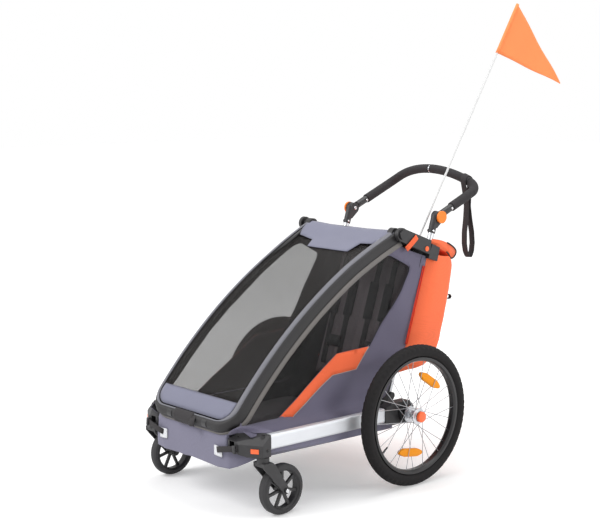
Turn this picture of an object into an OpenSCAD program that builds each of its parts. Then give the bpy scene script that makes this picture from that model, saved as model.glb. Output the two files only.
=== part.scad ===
// Two-seat child bicycle trailer that stands on two spoked wheels and two casters.
// Frame: +X is the trailer's left, -Y is the front, +Z is up, and the floor is z = 0.
// Shapes are written from the main axle, and from_axle() moves them into the part's frame.

/* [Main wheels] */
// Distance between the middles of the two main tyres
track_w = 734; // [730:2:760]
// Outside diameter of a main tyre
tyre_d = 500; // [490:2:510]
// Width of a main tyre
tyre_w = 47; // [44:1:50]
// Spokes in each main wheel, a multiple of four
spoke_count = 28; // [20:4:36]
// Diameter of a spoke
spoke_d = 2.4; // [1.8:0.2:3]
// Diameter of the stub axle
axle_d = 16; // [14:1:18]

/* [Casters] */
// Outside diameter of a caster wheel
caster_d = 170; // [160:2:176]
// Width of a caster tyre
caster_w = 38; // [32:1:40]
// Distance between the two caster stems
caster_span = 604; // [600:2:608]
// How far a caster wheel trails its stem
caster_trail = 76; // [70:1:80]
// Diameter of a caster stem
stem_d = 16; // [14:1:18]

/* [Lower frame] */
// Distance over the outer faces of the side rails
rail_span = 636; // [634:1:640]
// Height of a side rail
rail_h = 50; // [44:1:52]
// Thickness of a side rail
rail_t = 30; // [26:1:32]
// Height of the middle of the rails above the floor
rail_z = 253; // [251:1:255]
// Distance between the middles of the tow arm sockets
socket_span = 436; // [434:2:440]
// Inside width of a square tow arm socket
socket_w = 25; // [20:1:26]
// Diameter of the upright pin hole through each socket
tow_pin_d = 8.2; // [6:0.1:9]

/* [Bow and roof] */
// Radius of the bow's long arc
bow_r = 1790; // [1784:2:1796]
// Distance between the middles of the bow's two side tubes
bow_span = 428; // [424:2:432]
// Diameter of the bow, upright and handle tubes
tube_d = 22; // [20:1:22]
// Radius of the bow's two lower corners
bow_corner_r = 70; // [60:2:80]
// Height of the roof bracket pivots
roof_pivot_z = 872; // [868:1:876]

/* [Handlebar] */
// Distance between the middles of the handlebar's two side tubes
handle_span = 446; // [444:2:450]
// Length from the handle joint to the cross grip
handle_len = 243; // [230:1:250]
// Angle of the handlebar's side tubes above level
handle_tilt = 22.9; // [20:0.1:26]
// Angle at which the cross grip arches up from each side
handle_arch = 27; // [24:0.5:28]
// Outside diameter of the foam grip
grip_d = 34; // [30:1:38]
// Bare length at the middle of the cross grip
grip_gap = 9; // [6:1:30]

/* [Flag] */
// Length of the flag pole
pole_len = 1050; // [960:10:1050]
// Angle of the pole from upright, towards the rear
pole_lean = 31.8; // [28:0.2:34]
// Length of the pennant along the pole
pennant_h = 216; // [160:4:230]

/* [Seats] */
// Width of the seat cushion
seat_w = 520; // [480:5:530]
// Depth of the seat cushion from front to rear
seat_l = 400; // [340:5:410]
// Height of the seat cushion at its crown
seat_h = 52; // [40:1:54]
// Height of the backrest pad
back_h = 490; // [420:5:500]

/* [Hidden] */
$fn = 64;
wheel_x = track_w / 2;
wheel_r = tyre_d / 2;
axle_r = axle_d / 2;
tube_r = tube_d / 2;
run_gap = 0.06;
skin_gap = 0.4;

caster_x = caster_span / 2;
caster_r = caster_d / 2;
stem_y = -634;
caster_y = stem_y + caster_trail;
stem_r = stem_d / 2;

rail_x = rail_span / 2 - rail_t / 2;
rail_in = rail_x - rail_t / 2;
rail_out = rail_x + rail_t / 2;
rail_front_y = -612;
rail_rear_y = -95;
rail_wall = 3;
corner_low = rail_z - 46;
corner_top = rail_z + 25;
corner_front_y = -695;
socket_x = socket_span / 2;
socket_z = rail_z - 13;
socket_depth = 52;
tow_pin_y = -669;
front_bar_y = -672;
front_bar_w = 25;
beam_y = 10;
beam_r = 15;

// The bow is an arc about a centre low behind the trailer, seen from the side
bow_c = [733.7, -781];
bow_x = bow_span / 2;
bow_top_a = 113.7;
bow_foot_a = 141;
roof_pivot = [40, roof_pivot_z];
bow_foot = arc_point(bow_r, bow_foot_a);
bow_pivot = bow_foot + bow_corner_r * [-sin(bow_foot_a), cos(bow_foot_a)];
cover_r = bow_r + tube_r + skin_gap;
cover_t = 2;
clip_x = [84, 108];

// The uprights, posts and rear bag all lie along one line that leans back
lean = 17.7;
upright_pivot = [45, 285];
upright_x = 193;
upright_len = 330;
upright_corner_r = 60;
post_x = handle_span / 2;
post_low = 322;
post_high = 632;
bracket_x = [248.5, 262];
lock_at = [165, 812];
handle_pivot = [260.5, 917.5];
handle_corner_r = 45;
arch_x = post_x - handle_corner_r * cos(handle_arch);
arch_r = arch_x / sin(handle_arch);
arch_low = handle_corner_r * sin(handle_arch) - arch_r * cos(handle_arch);
grip_start = 80;
grip_r = grip_d / 2;

pole_r = 4;
pole_x = 190;
pole_foot = [172, 800];
pennant_tip = [300, 858.5, 1391.5];
pennant_t = 0.8;

tub_x = 283;
tub_low = 178;
tub_high = 294;
tub_wall = 3;
tub_rear_y = -14;
panel_low = 300;
panel_x = 288;
panel_top_z = 840;
panel_t = 3;

// The box from the bow's front clips to the pennant's tip is centred on the origin
clip_r = tube_r + 6;
front_reach = bow_pivot[0] - clip_r;
rear_reach = max([for (t = [-pennant_t, pennant_t]) for (row = pennant_sheet(t)) for (p = row) p[1]]);
axle_y = -(front_reach + rear_reach) / 2;

black = [0.07, 0.07, 0.08];
charcoal = [0.16, 0.16, 0.18];
silver = [0.78, 0.79, 0.81];
slate = [0.47, 0.46, 0.54];
orange = [0.95, 0.40, 0.22];
flag_orange = [1.0, 0.58, 0.32];
amber = [0.95, 0.62, 0.15];

// Shared functions

function arc_point(r, a) = bow_c + r * [cos(a), sin(a)];
function arc_points(r, from, to, steps) =
    [for (k = [0:steps]) arc_point(r, from + (to - from) * k / steps)];
function box(w, h) = [[-w, -h] / 2, [w, -h] / 2, [w, h] / 2, [-w, h] / 2];
function unit(v) = v / norm(v);
function turned(v, a) = [v[0] * cos(a) - v[1] * sin(a), v[0] * sin(a) + v[1] * cos(a)];

// One corner of an outline as an arc of radius r in n steps
function corner_arc(a, p, b, r, n) =
    let (u = unit(a - p), w = unit(b - p), half = acos(u * w) / 2)
    let (c = p + unit(u + w) * r / sin(half))
    let (q = p + u * r / tan(half) - c, e = p + w * r / tan(half) - c)
    let (way = q[0] * e[1] - q[1] * e[0] > 0 ? 1 : -1)
    [for (k = [0:n]) c + turned(q, way * (180 - 2 * half) * k / n)];

function rounded(pts, r, n = 4) =
    let (last = len(pts))
    [for (i = [0:last - 1])
        each corner_arc(pts[(i + last - 1) % last], pts[i], pts[(i + 1) % last], r, n)];

// A point of the leaning line's own plane, across it and along it, in the side view
function on_line(across, along) = upright_pivot + turned([across, along], -lean);

// Pennant from the pole to its tip, with soft waves across it: rows of points at t from its middle
function on_pole(along) = [pole_x, pole_foot[0] + along * sin(pole_lean), pole_foot[1] + along * cos(pole_lean)];
function on_pole_side(along) = [on_pole(along)[1], on_pole(along)[2]];
function pennant_sheet(t, steps = 14) =
    let (low = on_pole(pole_len - pennant_h), high = on_pole(pole_len), middle = (low + high) / 2)
    let (out_way = unit(pennant_tip - middle), across_way = unit(cross(pennant_tip - low, high - low)))
    [for (i = [0:steps]) let (u = 0.985 * i / steps, wave = 9 * sin(540 * u) * u * (1 - 0.5 * u))
        [for (v = [0, 0.5, 1]) (low + (high - low) * v) * (1 - u) + pennant_tip * u
            + out_way * (pole_r + 0.6) * (1 - u) + across_way * (wave + t)]];

// Shared shapes

module from_axle() translate([0, axle_y, 0]) children();
module side(s) mirror([s < 0 ? 1 : 0, 0, 0]) children();
module both_sides() for (s = [1, -1]) side(s) children();

// A side view outline of [y, z] points made solid from x0 to x1
module across(x0, x1) translate([x0, 0, 0]) rotate([90, 0, 90]) linear_extrude(x1 - x0) children();

module bar_x(x0, x1, r, at) translate([x0, at[0], at[1]]) rotate([0, 90, 0]) cylinder(h = x1 - x0, r = r);
module spun_x() rotate([0, 90, 0]) rotate_extrude() children();
module spot(at, r) translate(at) circle(r);

module rod(a, b, r) {
    d = b - a;
    translate(a) rotate([0, acos(d[2] / norm(d)), atan2(d[1], d[0])]) cylinder(h = norm(d), r = r);
}

// A sheet or pad between two grids of points
module slab(front, back) {
    m = len(front);
    n = len(front[0]);
    function id(f, i, j) = f * m * n + i * n + j;
    points = [for (g = [front, back]) for (row = g) each row];
    quads = concat(
        [for (i = [0:m - 2], j = [0:n - 2]) [id(0, i, j), id(0, i, j + 1), id(0, i + 1, j + 1), id(0, i + 1, j)]],
        [for (i = [0:m - 2], j = [0:n - 2]) [id(1, i, j), id(1, i + 1, j), id(1, i + 1, j + 1), id(1, i, j + 1)]],
        [for (j = [0:n - 2]) [id(0, 0, j), id(1, 0, j), id(1, 0, j + 1), id(0, 0, j + 1)]],
        [for (j = [0:n - 2]) [id(0, m - 1, j), id(0, m - 1, j + 1), id(1, m - 1, j + 1), id(1, m - 1, j)]],
        [for (i = [0:m - 2]) [id(0, i, 0), id(0, i + 1, 0), id(1, i + 1, 0), id(1, i, 0)]],
        [for (i = [0:m - 2]) [id(0, i, n - 1), id(1, i, n - 1), id(1, i + 1, n - 1), id(0, i + 1, n - 1)]]);
    polyhedron(points, [for (q = quads) each [[q[0], q[2], q[1]], [q[0], q[3], q[2]]]]);
}

// A stuffed pad lying on z = 0: crowned, drawn in between its corners, with sewn channels across u
module pad(w, l, h, rim, draw, channels, m = 24, n = 16) {
    function dip(u) = max([for (c = channels) exp(-pow((u - c) / 0.05, 2))]);
    function swell(u, v) = (1 - pow(abs(u), 6)) * (1 - pow(abs(v), 6)) * (1 - 0.4 * dip(u));
    function spread(u, v) = [u * (w / 2 - draw * (1 - v * v)), v * (l / 2 - draw * (1 - u * u))];
    top = [for (i = [0:m]) [for (j = [0:n]) let (u = 2 * i / m - 1, v = 2 * j / n - 1)
        concat(spread(u, v), rim + (h - rim) * swell(u, v))]];
    base = [for (row = top) [for (p = row) [p[0], p[1], 0]]];
    slab(top, base);
}

// A quarter bend of tube in the x-z plane, from +x round to -z, about the origin
module bend(r, tube) rotate([90, 0, 0]) rotate([0, 0, -90]) rotate_extrude(angle = 90) spot([r, 0], tube);

// Lower frame

module rail(s) color(silver) from_axle() side(s)
    translate([rail_x, rail_rear_y, rail_z]) rotate([90, 0, 0])
    linear_extrude(rail_rear_y - rail_front_y) difference() {
        polygon(rounded(box(rail_t, rail_h), 8));
        polygon(rounded(box(rail_t - 2 * rail_wall, rail_h - 2 * rail_wall), 5));
    }

module rail_left() rail(1);
module rail_right() rail(-1);

// The slanting outer face of a front corner: x along it, y out of it
corner_shoulder = [rail_out + 2, stem_y - 16];
corner_nose = [socket_x + socket_w / 2 + 19, corner_front_y];
corner_slant = corner_shoulder - corner_nose;
module at_corner_face() {
    at = corner_nose + corner_slant * 0.68;
    translate([at[0], at[1], rail_z - 25]) rotate([0, 0, atan2(corner_slant[1], corner_slant[0]) + 180]) children();
}

// Moulded wedge between the rail and the tow arm socket, with the caster's bush and its release pocket
module front_corner(s) {
    wall = 11;
    socket_in = socket_x - socket_w / 2 - wall;
    plan = [[rail_out + 2, rail_front_y], corner_shoulder, corner_nose,
        [socket_in, corner_front_y], [socket_in, corner_front_y + socket_depth + 4],
        [socket_in + 46, stem_y], [rail_in - 2, rail_front_y]];
    flank = [[rail_front_y, corner_low], [rail_front_y, corner_top], [rail_front_y - 12, corner_top],
        [corner_front_y, corner_top - 24], [corner_front_y, corner_low + 7], [corner_front_y + 16, corner_low]];
    color(black) from_axle() side(s) difference() {
        intersection() {
            translate([0, 0, corner_low]) linear_extrude(corner_top - corner_low) polygon(rounded(plan, 5));
            across(socket_in - 1, rail_out + 4) polygon(flank);
        }
        translate([socket_x - socket_w / 2, corner_front_y - 1, socket_z - socket_w / 2])
            cube([socket_w, socket_depth, socket_w]);
        translate([caster_x, stem_y, corner_low - 1]) cylinder(h = corner_top, r = stem_r + run_gap);
        translate([socket_x, tow_pin_y, corner_low - 1]) cylinder(h = corner_top, r = tow_pin_d / 2);
        at_corner_face() translate([-14, -8, -8]) cube([28, 10, 16]);
        at_corner_face() translate([-80, 0, 0]) across(0, 160) polygon([[-30, 55], [1, 55], [1, 18]]);
    }
}

module front_corner_left() front_corner(1);
module front_corner_right() front_corner(-1);

// Square tube between the corners, with the two clips that the bow turns in
module front_crossbar() {
    half = socket_x - socket_w / 2 - 11;
    bar_top = rail_z - 3 + front_bar_w / 2;
    web = [[front_bar_y - 12, bar_top - 1], [front_bar_y + 12, bar_top - 1],
        bow_pivot + [12, 13], bow_pivot + [-8, -15]];
    color(charcoal) from_axle() difference() {
        union() {
            translate([-half, front_bar_y - front_bar_w / 2, rail_z - 3 - front_bar_w / 2])
                cube([2 * half, front_bar_w, front_bar_w]);
            both_sides() across(clip_x[0], clip_x[1]) union() {
                polygon(web);
                spot(bow_pivot, clip_r);
            }
        }
        both_sides() bar_x(clip_x[0] - 1, clip_x[1] + 1, tube_r + run_gap, bow_pivot);
    }
}

// Tube between the two wheel holders, with the lugs and pins that the uprights fold on
module axle_beam() color(charcoal) from_axle() {
    lug_x = upright_x + tube_r + 1.5;
    ear = unit(upright_pivot - [beam_y, rail_z - 3]);
    flat = [-ear[1], ear[0]];
    bar_x(-rail_in + 4, rail_in - 4, beam_r, [beam_y, rail_z - 3]);
    both_sides() {
        across(lug_x, lug_x + 9) union() {
            spot(upright_pivot, 13);
            spot([beam_y, rail_z - 3], beam_r + 3);
            polygon([upright_pivot + 13 * flat, upright_pivot - 13 * flat,
                [beam_y, rail_z - 3] - 18 * flat, [beam_y, rail_z - 3] + 18 * flat]);
        }
        bar_x(upright_x - tube_r - 1, lug_x + 1, 6, upright_pivot);
        bar_x(upright_x - tube_r - 5, upright_x - tube_r - 1, 10, upright_pivot);
    }
}

// Hoop that carries the floor from below
module floor_hoop() {
    r = 8;
    hoop_x = 180;
    hoop_z = 168;
    hoop_front = -440;
    turn = 40;
    rise = rail_z - 3 - beam_r - hoop_z + 6;
    color(silver) from_axle() {
        both_sides() {
            rod([hoop_x, hoop_front + turn, hoop_z], [hoop_x, beam_y, hoop_z], r);
            translate([hoop_x, beam_y, hoop_z]) cylinder(h = rise, r = r);
            translate([hoop_x, beam_y, hoop_z - r - 1.5]) cylinder(h = 2 * r + 3, r = r + 2);
            translate([hoop_x - turn, hoop_front + turn, hoop_z]) rotate([0, 0, -90])
                rotate_extrude(angle = 90) spot([turn, 0], r);
        }
        bar_x(-hoop_x + turn, hoop_x - turn, r, [hoop_front, hoop_z]);
    }
}

// Wheel holder at the rear end of a rail, with the stub axle's socket
module rear_knuckle(s) {
    flank = [[rail_rear_y, rail_z - 27], [rail_rear_y, rail_z + 27], [-58, rail_z + 40], [22, rail_z + 40],
        [44, rail_z + 18], [44, rail_z - 20], [20, rail_z - 38], [-58, rail_z - 38]];
    color(black) from_axle() side(s) difference() {
        union() {
            across(rail_in - 4, rail_out + 4) polygon(rounded(flank, 9));
            bar_x(rail_out, wheel_x - 31, 34, [0, wheel_r]);
        }
        bar_x(rail_in + 6, wheel_x, axle_r + run_gap, [0, wheel_r]);
    }
}

module rear_knuckle_left() rear_knuckle(1);
module rear_knuckle_right() rear_knuckle(-1);

module stub_axles() color(silver) from_axle() both_sides() difference() {
    bar_x(rail_in + 8, wheel_x + 36, axle_r, [0, wheel_r]);
    bar_x(wheel_x + 27.2, wheel_x + 37, 4.1, [0, wheel_r]);
}

// Fabric basin between the rails, with its apron over the front crossbar
module tub() {
    nose = socket_x - socket_w / 2 - 11 - 5;
    front_y = front_bar_y + front_bar_w / 2 + 22;
    apron_y = front_bar_y - front_bar_w / 2 - 10;
    function half_plan(inset) = [[tub_x - inset, tub_rear_y - inset], [tub_x - inset, -560 + inset / 2],
        [nose + 42 - inset, front_y + 25], [nose - inset, front_y + inset]];
    function plan(inset) = let (h = half_plan(inset))
        concat(h, [for (i = [len(h) - 1:-1:0]) [-h[i][0], h[i][1]]]);
    sag = [[-nose, 262], [-nose, 184], [-130, 177], [-60, 169], [60, 169], [130, 177], [nose, 184], [nose, 262]];
    color(slate) from_axle() {
        difference() {
            translate([0, 0, tub_low]) linear_extrude(tub_high - tub_low) polygon(plan(0));
            translate([0, 0, tub_low + tub_wall]) linear_extrude(tub_high) polygon(plan(tub_wall));
            translate([-upright_x - 22, tub_rear_y - 2 * tub_wall, upright_pivot[1] - 18])
                cube([2 * upright_x + 44, 4 * tub_wall, tub_high]);
        }
        translate([0, apron_y + tub_wall, 0]) rotate([90, 0, 0]) linear_extrude(tub_wall) polygon(sag);
        translate([-nose, apron_y, 184]) cube([2 * nose, front_y - apron_y + 1, tub_wall]);
    }
}

// Reflective tabs with a buckle strap on the apron
module front_straps() {
    apron_y = front_bar_y - front_bar_w / 2 - 10;
    color(silver) from_axle() both_sides() translate([151, apron_y - 2.5, 186]) {
        translate([-15, 0, 0]) cube([30, 2.5, 36]);
        translate([-10, -3, 8]) cube([20, 3, 18]);
    }
}

module seat_cushion() color(slate) from_axle()
    translate([0, tub_rear_y - 14 - seat_l / 2, tub_low + tub_wall + skin_gap])
    pad(seat_w, seat_l, seat_h, 22, 8, [0]);

// Side fabric that leans in from its hem to the bow, and the mesh window on its face

function bow_z(y) = bow_c[1] + sqrt(pow(bow_r - 18, 2) - pow(y - bow_c[0], 2));
function side_top_z(y) = y < -30 ? min(panel_top_z, bow_z(y)) : panel_top_z;
function side_top_x(y) = bow_x + lookup(y, [[-120, -5], [0, 26], [70, 45], [200, 48]]);
function side_point(p, out) = let (rise = (p[1] - panel_low) / (side_top_z(p[0]) - panel_low))
    [panel_x + out + (side_top_x(p[0]) - panel_x) * rise, p[0], p[1]];

// Rows of points between a lower and an upper edge, set out by a distance
function side_grid(low, high, out, rows = 6) = [for (i = [0:len(low) - 1])
    [for (j = [0:rows]) side_point(low[i] + (high[i] - low[i]) * j / rows, out)]];

module side_panel(s) {
    arc_steps = 15;
    high = concat(arc_points(bow_r - 18, 140.6, 115, arc_steps), [[30, 838], [100, 808], [166, 778]]);
    low = [for (i = [0:len(high) - 1]) [-654 + 668 * i / (len(high) - 1), panel_low]];
    color(slate) from_axle() side(s) slab(side_grid(low, high, 0), side_grid(low, high, -panel_t));
}

module side_panel_left() side_panel(1);
module side_panel_right() side_panel(-1);

module side_windows() {
    sheet_t = 2.4;
    low = [[-636, 318], [-596, 327], [-556, 336], [-464, 389], [-372, 441], [-280, 494], [-208, 497], [-135, 500],
        [-84, 521], [-32, 542], [22, 649], [75, 756]];
    high = concat(arc_points(bow_r - 64, 139.2, 114.6, len(low) - 2), [[78, 760]]);
    rows = 6;
    m = len(low) - 1;
    function sheet(out) = [for (i = [0:m]) [for (j = [0:rows]) side_point(low[i] + (high[i] - low[i]) * j / rows,
        out + 2.2 + 14 * (i / m) * (1 - i / m) + 20 * (j / rows) * (1 - j / rows))]];
    color(charcoal) from_axle() both_sides() slab(sheet(sheet_t), sheet(0));
}

// Folding upright frame with its seat back and rear bag, drawn along the leaning line

module on_upright() translate([0, upright_pivot[0], upright_pivot[1]]) rotate([-lean, 0, 0]) children();

module upright_frame() color(silver) from_axle() on_upright() difference() {
    union() {
        both_sides() {
            bar_x(upright_x - tube_r + 1, upright_x + tube_r - 1, 14, [0, 0]);
            translate([upright_x, 0, 8]) cylinder(h = upright_len - upright_corner_r - 8, r = tube_r);
            translate([upright_x - upright_corner_r, 0, upright_len - upright_corner_r])
                mirror([0, 0, 1]) bend(upright_corner_r, tube_r);
        }
        bar_x(upright_corner_r - upright_x, upright_x - upright_corner_r, tube_r, [0, upright_len]);
    }
    both_sides() bar_x(upright_x - 20, upright_x + 20, 6 + run_gap, [0, 0]);
}

module backrest() color(charcoal) from_axle() on_upright()
    translate([0, -tube_r - skin_gap, 16 + back_h / 2]) rotate([90, 0, 0])
    pad(344, back_h, 30, 12, 6, [-0.36, 0, 0.36]);

module harness() color(black) from_axle() on_upright() both_sides() {
    front = -tube_r - skin_gap - 31;
    for (x = [38, 118]) translate([x - 13, front - 5, 70]) cube([26, 4, 360]);
    for (x = [38, 118]) translate([x - 18, front - 12, 250]) cube([36, 9, 130]);
    translate([50, front - 11, 120]) cube([56, 9, 46]);
}

// Luggage bag behind the uprights
module rear_bag() {
    profile = [[14, 150], [58, 136], [104, 148], [143, 206], [126, 400], [104, 512], [62, 530], [36, 500], [14, 498]];
    color(orange) from_axle() on_upright() across(-236, 236) polygon(rounded(profile, 9, 3));
}

// Main wheels

module at_wheel(s) from_axle() side(s) translate([wheel_x, 0, wheel_r]) children();

rim_r = wheel_r - 43.6;
rim_half = 16;

module tyre(s) {
    mid_r = wheel_r - tyre_w / 2;
    color(black) at_wheel(s) spun_x() difference() {
        union() {
            difference() {
                spot([mid_r, 0], tyre_w / 2);
                spot([mid_r, 0], tyre_w / 2 - 5);
                translate([0, -12.2]) square([mid_r - 8, 24.4]);
            }
            for (a = [-12.2, 8.4]) translate([rim_r - 6.8, a]) square([10, 3.8]);
        }
        for (a = [-10, -4, 2, 8]) translate([wheel_r - 2.4, a]) square([4, 2]);
    }
}

module rim(s) color(black) at_wheel(s) {
    rotate([215, 0, 0]) translate([0, rim_r - 13, 0]) rotate([90, 0, 0]) cylinder(h = 34, r = 3);
    spun_x() polygon([[rim_r, rim_half], [rim_r, 12.5], [rim_r - 7.4, 12.5], [rim_r - 7.4, -12.5], [rim_r, -12.5],
        [rim_r, -rim_half], [rim_r - 9, -rim_half], [rim_r - 14, -9], [rim_r - 14, 9], [rim_r - 9, rim_half]]);
}

// Each flange carries half of the spokes, which cross twice on their way to the rim
module spokes(s) {
    per_flange = spoke_count / 2;
    pitch = 360 / per_flange;
    color(silver) at_wheel(s) for (f = [1, -1], k = [0:per_flange - 1]) {
        way = k % 2 == 0 ? 1 : -1;
        hub_a = (k + (f > 0 ? 0 : 0.5)) * pitch;
        rim_a = hub_a + way * 2 * pitch;
        rod([f * 20 + way * 1.6, 25 * cos(hub_a), 25 * sin(hub_a)],
            [f * 4 + way * 1.5, (rim_r - 13) * cos(rim_a), (rim_r - 13) * sin(rim_a)], spoke_d / 2);
    }
}

module hub(s) {
    shell = [[14, -26], [17, -26], [17, -23], [29, -22], [29, -18], [16, -15], [16, 15], [29, 18], [29, 22],
        [20, 24], [20, 26], [19, 27], [14, 27]];
    color(silver) at_wheel(s) spun_x() polygon(shell);
}

module bearings(s) color(charcoal) at_wheel(s) for (a = [-26, 15])
    spun_x() translate([axle_r + run_gap, a]) square([13.98 - axle_r - run_gap, 10]);

// Two clip-on spoke reflectors
module reflectors(s) color(amber) at_wheel(s) {
    lens = [[-13, -29], [-4, -43], [4, -43], [13, -29], [13, 29], [4, 43], [-4, 43], [-13, 29]];
    for (at = [[75, 113], [-20, -130]]) rotate([atan2(at[1], at[0]), 0, 0]) translate([-7, norm(at), 0])
        rotate([90, 0, 90]) linear_extrude(14) polygon(rounded(lens, 4));
}

module tyre_left() tyre(1);
module tyre_right() tyre(-1);
module rim_left() rim(1);
module rim_right() rim(-1);
module spokes_left() spokes(1);
module spokes_right() spokes(-1);
module hub_left() hub(1);
module hub_right() hub(-1);
module bearings_left() bearings(1);
module bearings_right() bearings(-1);
module reflectors_left() reflectors(1);
module reflectors_right() reflectors(-1);

// Release button capped over the end of the stub axle
module axle_button(s) color(orange) at_wheel(s) spun_x()
    polygon([[0, 31.5], [4.04, 31.5], [4.04, 40.4], [8.4, 40.4], [8.4, 31.5], [19, 31.5], [19, 38.5], [17, 41],
        [8, 43], [0, 43]]);

module axle_button_left() axle_button(1);
module axle_button_right() axle_button(-1);

// Casters

module at_caster(s) from_axle() side(s) translate([caster_x, caster_y, caster_r]) children();

module caster_fork(s) {
    blade_in = caster_w / 2 + 2.5;
    stem = [stem_y, corner_low - 12];
    axle = [caster_y, caster_r];
    color(black) from_axle() side(s) {
        translate([caster_x, stem_y, corner_low - 22]) cylinder(h = 20.5, r = 21);
        translate([caster_x, stem_y, corner_low - 4]) cylinder(h = corner_top - corner_low, r = stem_r);
        for (x = [caster_x - blade_in - 6, caster_x + blade_in]) across(x, x + 6) union() {
            spot(axle, 13);
            polygon([axle + [-12, -5], axle + [12, 6], stem + [34, -20], stem + [20, -6], stem + [-18, -6],
                stem + [-17, -22]]);
        }
        across(caster_x - blade_in - 1, caster_x + blade_in + 1)
            polygon([stem + [-18, -6], stem + [20, -6], stem + [32, -18], stem + [20, -22], stem + [-16, -20]]);
        bar_x(caster_x - blade_in - 9, caster_x + blade_in + 9, 5, axle);
        for (x = [caster_x - blade_in - 10, caster_x + blade_in + 6]) bar_x(x, x + 4, 8, axle);
    }
}

module caster_wheel(s) {
    half = caster_w / 2;
    tread = caster_r - 18;
    color(charcoal) at_caster(s) difference() {
        union() {
            spun_x() polygon([[tread - 5, 8 - half], [tread, 3 - half], [tread, half - 3], [tread - 5, half - 8]]);
            bar_x(-half, half, 14, [0, 0]);
            for (k = [0:6]) rotate([360 / 7 * k, 0, 0]) translate([0, -4.5, 10]) cube([9, 9, tread - 13]);
        }
        bar_x(-half - 1, half + 1, 5 + run_gap, [0, 0]);
    }
}

module caster_tyre(s) {
    half = caster_w / 2;
    low = caster_r - 17.98;
    color(black) at_caster(s) spun_x()
        polygon([[low, -half], [caster_r - 9, -half], [caster_r - 3, -half + 4], [caster_r, -half + 11],
            [caster_r, half - 11], [caster_r - 3, half - 4], [caster_r - 9, half], [low, half]]);
}

module caster_fork_left() caster_fork(1);
module caster_fork_right() caster_fork(-1);
module caster_wheel_left() caster_wheel(1);
module caster_wheel_right() caster_wheel(-1);
module caster_tyre_left() caster_tyre(1);
module caster_tyre_right() caster_tyre(-1);

// Release button for the caster stem, in the corner's slanting outer face
module corner_button(s) color(orange) from_axle() side(s) at_corner_face()
    translate([-13.5, -4.5, -7.5]) cube([27, 6, 15]);

module corner_button_left() corner_button(1);
module corner_button_right() corner_button(-1);

// Bow

module at_bow_foot() translate([0, bow_foot[0], bow_foot[1]]) rotate([bow_foot_a - 180, 0, 0]) children();

// Turns a [radius, x] outline about the bow's centre between two angles
module swept(from, to) translate([0, bow_c[0], bow_c[1]]) rotate([0, 90, 0]) rotate([0, 0, from + 90])
    rotate_extrude(angle = to - from, $fn = 360) children();

// Side tubes plugged into the bent front bar, with the eyes, pins and knobs of the roof brackets
module bow_frame() color(black) from_axle() {
    eye_in = bow_x - tube_r + 2;
    tube_gap = 0.03;
    plug_wall = 1.2;
    bar_half = bow_x - bow_corner_r - 1;
    both_sides() {
        swept(bow_top_a, bow_foot_a - tube_gap) spot([bow_r, bow_x], tube_r);
        at_bow_foot() {
            translate([bow_x - bow_corner_r, 0, 0]) bend(bow_corner_r, tube_r);
            translate([bow_x, 0, -8]) cylinder(h = 24, r = tube_r - plug_wall);
        }
        across(eye_in, bow_x + tube_r + 4) union() {
            spot(roof_pivot, 21);
            polygon([arc_point(bow_r + tube_r - 3, bow_top_a + 0.3), arc_point(bow_r - tube_r + 3, bow_top_a + 0.3),
                roof_pivot + [-9, -18], roof_pivot + [9, 18]]);
        }
        bar_x(eye_in + 4, bracket_x[0] - 0.6, 13, roof_pivot);
        bar_x(bracket_x[0] - 1, bracket_x[1] + 1, 6, roof_pivot);
        bar_x(bracket_x[1] + 0.5, bracket_x[1] + 8, 16.5, roof_pivot);
    }
    bar_x(-bar_half, bar_half, tube_r, bow_pivot);
    bar_x(-bar_half - 9, bar_half + 9, tube_r - plug_wall, bow_pivot);
    bar_x(-eye_in - 2, eye_in + 2, 8, roof_pivot);
}

// Mesh cover over the bow, down to the front bar
module front_cover() {
    half = bow_x + 13;
    flap = [[-half, 0], [half, 0], [half - 6, -30], [bow_x - 24, -bow_corner_r + 16], [24 - bow_x, -bow_corner_r + 16],
        [6 - half, -30]];
    seam = 4;
    color(charcoal) from_axle() {
        swept(114.6, bow_foot_a - 0.04) translate([cover_r, -half]) square([cover_t, 2 * half]);
        at_bow_foot() translate([0, -tube_r - skin_gap, 0]) rotate([90, 0, 0]) linear_extrude(cover_t)
            polygon(flap);
        at_bow_foot() translate([seam - half, -tube_r - skin_gap - 0.75 * cover_t, -seam])
            cube([2 * half - 2 * seam, cover_t / 2, 2 * seam]);
    }
}

// Sun flap on top of the cover, stepped at its lower edge
module roof_flap() color(slate) from_axle()
    for (part = [[113.2, 115.7, bow_x - 11], [115.7, 117.4, 118]]) swept(part[0], part[1])
        translate([cover_r + cover_t + skin_gap, -part[2]]) square([1.6, 2 * part[2]]);

// Roof brackets, posts and what they carry

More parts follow.
